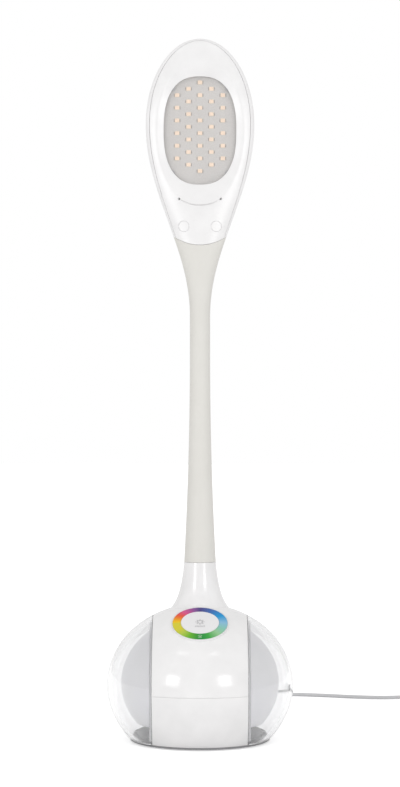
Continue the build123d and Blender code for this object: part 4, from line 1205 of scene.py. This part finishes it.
class LampLeadSizes(bpy.types.PropertyGroup):
    """The low-voltage lead, its put-away coil and the plug-in adapter."""

    diameter: length("Lead diameter", "Diameter of the lead", 2.8)
    whole: length("Lead length", "Whole length of the lead", 1440.0)
    coil_x: length("Coil X", "Where the coil lies, across", 198.0)
    coil_y: length("Coil Y", "Where the coil lies, in depth", 182.0)
    coil_z: length("Coil low", "Height of the coil's lowest layer", 2.6)
    coil_reach: length("Coil reach", "Outer radius of the coil's middle line", 21.0)
    coil_pitch: length("Coil pitch", "From one turn to the next in a layer", 3.9)
    coil_rise: length("Coil rise", "From one layer to the next", 3.5)
    tail: length("Coil tail", "Straight run from the coil to the adapter", 14.0)


def coil_route(sizes, layers=4, half_turns=5, points_per_half_turn=8):
    """The coil's points: it spirals in and out at a steady rate, and climbs where the spiral reverses.

    The angle grows clockwise from +Y. Between two stations, a half turn apart, the reach and the height
    change evenly. A curve of order 3 runs inside its points, so the points stand out by 1 over
    (3 + cos of their spacing) / 4.
    """
    reaches, heights = [sizes.coil_reach], [sizes.coil_z]
    for layer in range(layers):
        step = sizes.coil_pitch / 2 if layer % 2 else -sizes.coil_pitch / 2
        last = layer == layers - 1
        for _ in range(half_turns - last):
            reaches.append(reaches[-1] + step)
            heights.append(heights[-1])
        if not last:
            reaches.append(reaches[-1])
            heights.append(heights[-1] + sizes.coil_rise)
    reaches.append(reaches[-1] + sizes.coil_pitch / 4)
    heights.append(heights[-1])
    stations = np.arange(len(reaches), dtype=float)
    stations[-1] -= 0.5
    spacing = 1 / points_per_half_turn
    angle = np.arange(spacing, stations[-1] - spacing / 2, spacing)
    reach = np.interp(angle, stations, reaches) * 4 / (3 + math.cos(math.pi * spacing))
    height = np.interp(angle, stations, heights)
    x, y = sizes.coil_x + reach * np.sin(np.pi * angle), sizes.coil_y + reach * np.cos(np.pi * angle)
    end = np.array([sizes.coil_x + reaches[-1], sizes.coil_y, heights[-1]])
    tail = [end - [0, share * sizes.tail, 0] for share in (0.0, 0.5, 1.0)]
    return np.vstack([np.stack([x, y, height], -1), tail])


def add_lead(sizes, material):
    """The lead as one smooth curve through its laid route, its coil and its run into the adapter."""
    points = np.vstack([LEAD_ROUTE, coil_route(sizes)])
    curve = bpy.data.curves.new("lead_cable", "CURVE")
    curve.dimensions = "3D"
    curve.bevel_depth = sizes.diameter / 2
    curve.bevel_resolution = 5
    curve.resolution_u = 6
    curve.use_fill_caps = True
    spline = curve.splines.new("NURBS")
    spline.points.add(len(points) - 1)
    spline.points.foreach_set("co", np.column_stack([points, np.ones(len(points))]).ravel())
    spline.order_u = 3
    spline.use_endpoint_u = True
    piece = bpy.data.objects.new("lead_cable", curve)
    bpy.context.collection.objects.link(piece)
    curve.materials.append(material)
    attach(piece, "base")
    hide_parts("power_lead", "power_lead_coil")
    return piece


def relief_surface(low, high, centre_z, tip_radius):
    """The strain relief, turned about the Y axis: flange, gland neck, then a taper with ribs between slots.

    The neck lies between the flange inside the shell and the one outside. Each rib takes the first 62 of a
    hundred parts of its pitch, and a slot with steep sides the rest.
    """
    back, front = high[1], low[1]
    neck, flange = 4.0 * MM, high[0]
    inner_y, outer_y = 50.0 * MM, 60.6 * MM
    profile = [
        (front, 0), (front, flange), (inner_y, flange), (inner_y, neck), (outer_y, neck),
        (outer_y, flange - 0.3 * MM), (outer_y + 0.4 * MM, flange), (outer_y + 1.5 * MM, flange),
    ]
    ribs, root_y, root, slot = 6, outer_y + 1.6 * MM, 4.4 * MM, 0.45 * MM
    pitch = (back - root_y - 2 * MM) / ribs
    for rib in range(ribs):
        start = root_y + rib * pitch
        for share, sunk in ((0.0, 0), (0.62, 0), (0.66, slot), (0.96, slot)):
            y = start + share * pitch
            radius = root + (tip_radius - root) * (y - root_y) / (back - root_y)
            profile.append((y, radius - sunk))
    edge = 0.2 * MM
    profile += [
        (back - 1.6 * MM, tip_radius + 0.15 * MM), (back - edge, tip_radius),
        (back, tip_radius - edge), (back, 0),
    ]
    along, radius = np.array(profile).T[:, :, None]
    turn = np.linspace(0, 2 * np.pi, 48, endpoint=False)
    points = np.stack(
        [radius * np.cos(turn), along * np.ones_like(turn), centre_z + radius * np.sin(turn)], -1
    )
    return grid(points, wrap_columns=True)


def tie_surface(low, high, wall):
    """A flat strap round the bundle: a rounded rectangle's wall, carried across its width."""
    middle = (np.array(low) + np.array(high)) / 2
    half = (np.array(high) - np.array(low)) / 2
    corner, edge = 2.1 * MM, 0.2 * MM
    outer = rounded_box_outline(half[0], half[2], corner, steps=8)
    rim, inner = outer * (1 - edge / half[[0, 2]]), outer * (1 - wall / half[[0, 2]])
    rows = []
    for outline, across in (
        (rim, -half[1]), (outer, edge - half[1]), (outer, half[1] - edge), (rim, half[1]),
        (inner, half[1]), (inner, -half[1]),
    ):
        y = np.full(len(outline), middle[1] + across)
        rows.append(np.stack([middle[0] + outline[:, 0], y, middle[2] + outline[:, 1]], -1))
    return grid(np.array(rows), wrap_rows=True, wrap_columns=True)


class LAMP_OT_lead(bpy.types.Operator):
    """Adds the lead with its strain relief, put-away coil and tie, and finishes the plug-in adapter"""

    bl_idname = "lamp.lead"
    bl_label = "Lead and adapter"

    def execute(self, context):
        sizes, colours = context.scene.lamp_lead, context.scene.lamp_colours
        vinyl = soft_plastic("soft_vinyl", colours.lead, 0.42, depth=0.004 * MM)
        lead = add_lead(sizes, vinyl)
        surface = relief_surface(*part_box("strain_relief"), LEAD_ROUTE[0, 2], tip_radius=2.2 * MM)
        relief = add_mesh("lead_relief", [surface])
        settle(relief, "base", vinyl, ["strain_relief"])
        strap = add_mesh("lead_tie", [tie_surface(*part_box("coil_tie"), wall=0.6 * MM)])
        woven = soft_plastic("woven_strap", "DADADB", 0.8, grain=0.8 * MM, depth=0.06 * MM)
        settle(strap, "base", woven, ["coil_tie"])
        adapter, pins = frame["nodes"]["power_adapter"], frame["nodes"]["adapter_pins"]
        finish_node(adapter, moulded_abs("adapter_abs", colours.shell, 0.3))
        finish_node(pins, metal("nickel_plate", "C9C6BF", 0.22))
        return {"FINISHED"}


# ---- Inner pieces --------------------------------------------------------------------------------
class LAMP_OT_inner(bpy.types.Operator):
    """Finishes the pieces inside the lamp, which keep their construction shapes"""

    bl_idname = "lamp.inner"
    bl_label = "Inner pieces"

    def execute(self, context):
        steel = metal("zinc_plated_steel", "B9B9BC", 0.32)
        wound = metal("wound_spring_steel", "8F8F92", 0.36)
        white_board = circuit_board("white_resist_board", "DCDCDA")
        finishes = {
            "ballast_plate": metal("cast_iron_ballast", "5A5A5C", 0.6, grain=2 * MM),
            "control_board": circuit_board("green_resist_board", "1E6B3C"),
            "touch_board": circuit_board("green_touch_board", "24713F"),
            "mood_board_left": white_board,
            "mood_board_right": white_board,
            "mood_leds": soft_plastic("chip_resin", "EFE9D2", 0.3),
        }
        finishes |= {name: steel for name in ("base_screws", "head_screws", "neck_nut", "head_nut")}
        finishes |= {name: wound for name in frame["nodes"] if name.startswith("gooseneck")}
        for name, material in finishes.items():
            finish_node(frame["nodes"][name], material)
        return {"FINISHED"}


# ---- Stage ---------------------------------------------------------------------------------------
SOFT_BOXES = (
    # name, azimuth and elevation in degrees, height of its target, width and height, share of the power
    ("box_left", -34, 16.0, 0.045, 0.42, 0.40, 0.9),
    ("box_right", 31, 16.0, 0.045, 0.42, 0.40, 0.9),
    ("high_left", -34, 57.0, 0.06, 0.28, 0.12, 0.1),
    ("high_right", 28, 57.0, 0.06, 0.28, 0.12, 0.1),
)


class LampStageSettings(bpy.types.PropertyGroup):
    """The camera and the studio."""

    camera_height: length("Camera height", "Height of the lens", 241.8)
    camera_distance: length("Camera distance", "From the lens to the lamp's axis", 1540.0)
    view_height: length("View height", "What the frame takes in at the lamp's axis, top to bottom", 549.0)
    surround: bpy.props.FloatProperty(
        name="Surround",
        description="Light that the even surroundings give",
        default=0.73,
        min=0,
        subtype="FACTOR",
    )
    box_power: bpy.props.FloatProperty(
        name="Box power",
        description="Power that the soft boxes take their shares of, in watts",
        default=3.2,
        min=0,
        unit="POWER",
    )


def seen_ray(tree):
    """1 for rays that show the background directly or through glass, less for its mirror image, else 0."""
    in_mirror = 0.6
    path = add_node(tree, "ShaderNodeLightPath").outputs
    direct = {0: path["Is Camera Ray"], 1: path["Is Transmission Ray"]}
    clear = add_node(tree, "ShaderNodeMath", direct, operation="MAXIMUM")
    gloss = add_node(tree, "ShaderNodeMath", {0: path["Is Glossy Ray"], 1: in_mirror}, operation="MULTIPLY")
    both = add_node(tree, "ShaderNodeMath", {0: clear.outputs[0], 1: gloss.outputs[0]}, operation="MAXIMUM")
    return both.outputs[0]


def light_surroundings(scene, surround):
    """Even white light from all sides, which shows as plain white."""
    world = scene.world or bpy.data.worlds.new("surroundings")
    scene.world = world
    world.use_nodes = True
    tree = world.node_tree
    tree.nodes.clear()
    between = {"Value": seen_ray(tree), "To Min": surround, "To Max": 1.0}
    strength = add_node(tree, "ShaderNodeMapRange", between).outputs[0]
    white = add_node(tree, "ShaderNodeBackground", {"Color": (1, 1, 1, 1), "Strength": strength})
    add_node(tree, "ShaderNodeOutputWorld", {"Surface": white.outputs[0]})


def add_floor(reach=6.0, glow_strength=0.52):
    """A sheet of white paper that glows just enough, where it is seen, to run into the white behind it."""
    corners = np.array([[(-reach, -reach, 0), (reach, -reach, 0)], [(-reach, reach, 0), (reach, reach, 0)]])
    floor = add_mesh("floor", [facing_out(grid(corners), (0, 0, -1))], closed=False)
    paper, tree, shader = new_material(
        "white_paper", {"Base Color": linear("F4F4F4"), "Roughness": 0.9, "Emission Color": (1, 1, 1, 1)}
    )
    glow = add_node(tree, "ShaderNodeMath", {0: seen_ray(tree), 1: glow_strength}, operation="MULTIPLY")
    tree.links.new(glow.outputs[0], shader.inputs["Emission Strength"])
    floor.data.materials.append(paper)


def add_softbox(name, azimuth, elevation, target_z, width, height, power, distance=1.5):
    """A soft box that faces a point over the origin. Azimuth 0 is the camera's side, and 90 its right."""
    turn, rise = math.radians(azimuth), math.radians(elevation)
    way = Vector((math.sin(turn) * math.cos(rise), -math.cos(turn) * math.cos(rise), math.sin(rise)))
    light = bpy.data.lights.new(name, "AREA")
    light.shape = "RECTANGLE"
    light.size, light.size_y = width, height
    light.energy = power
    lamp = bpy.data.objects.new(name, light)
    lamp.location = Vector((0, 0, target_z)) + way * distance
    lamp.rotation_euler = way.to_track_quat("Z", "Y").to_euler()
    lamp.visible_camera = False
    bpy.context.collection.objects.link(lamp)


def add_camera(scene, settings):
    """A level camera before the lamp: the view's height at the lamp's axis gives the lens its angle."""
    camera = bpy.data.objects.new("camera", bpy.data.cameras.new("camera"))
    camera.location = (0, -settings.camera_distance, settings.camera_height)
    camera.rotation_euler = (math.pi / 2, 0, 0)
    camera.data.sensor_fit = "VERTICAL"
    camera.data.angle_y = 2 * math.atan(settings.view_height / 2 / settings.camera_distance)
    camera.data.clip_start, camera.data.clip_end = 0.01, 50
    bpy.context.collection.objects.link(camera)
    scene.camera = camera


class LAMP_OT_stage(bpy.types.Operator):
    """Adds the white floor, the even surroundings, the soft boxes and the camera"""

    bl_idname = "lamp.stage"
    bl_label = "Stage"

    def execute(self, context):
        scene, settings = context.scene, context.scene.lamp_stage
        light_surroundings(scene, settings.surround)
        add_floor()
        for *box, share in SOFT_BOXES:
            add_softbox(*box, settings.box_power * share)
        add_camera(scene, settings)
        scene.view_settings.view_transform = "Standard"
        return {"FINISHED"}


# ---- Panel and registration ----------------------------------------------------------------------
OPERATORS = (
    LAMP_OT_stage,
    LAMP_OT_lead,
    LAMP_OT_band,
    LAMP_OT_domes,
    LAMP_OT_underside,
    LAMP_OT_touch_ring,
    LAMP_OT_neck,
    LAMP_OT_head,
    LAMP_OT_light,
    LAMP_OT_inner,
)
GROUPS = {
    "lamp_base": LampBaseSizes,
    "lamp_head": LampHeadSizes,
    "lamp_lead": LampLeadSizes,
    "lamp_colours": LampColours,
    "lamp_stage": LampStageSettings,
}


class LAMP_PT_panel(bpy.types.Panel):
    """Lists the lamp's pieces in the 3D view's sidebar"""

    bl_idname = "LAMP_PT_panel"
    bl_label = "Desk Lamp"
    bl_space_type = "VIEW_3D"
    bl_region_type = "UI"
    bl_category = "Desk Lamp"

    def draw(self, context):
        for operator in OPERATORS:
            self.layout.operator(operator.bl_idname)


def register():
    """Registers the settings, operators and panel."""
    for name, group in GROUPS.items():
        bpy.utils.register_class(group)
        setattr(bpy.types.Scene, name, bpy.props.PointerProperty(type=group))
    for operator in OPERATORS:
        bpy.utils.register_class(operator)
    bpy.utils.register_class(LAMP_PT_panel)


def unregister():
    """Takes them away again."""
    bpy.utils.unregister_class(LAMP_PT_panel)
    for operator in reversed(OPERATORS):
        bpy.utils.unregister_class(operator)
    for name, group in GROUPS.items():
        delattr(bpy.types.Scene, name)
        bpy.utils.unregister_class(group)


def main():
    """Builds the whole lamp and its stage."""
    register()
    for operator in OPERATORS:
        group, name = operator.bl_idname.split(".")
        getattr(getattr(bpy.ops, group), name)()


if __name__ == "__main__":
    main()
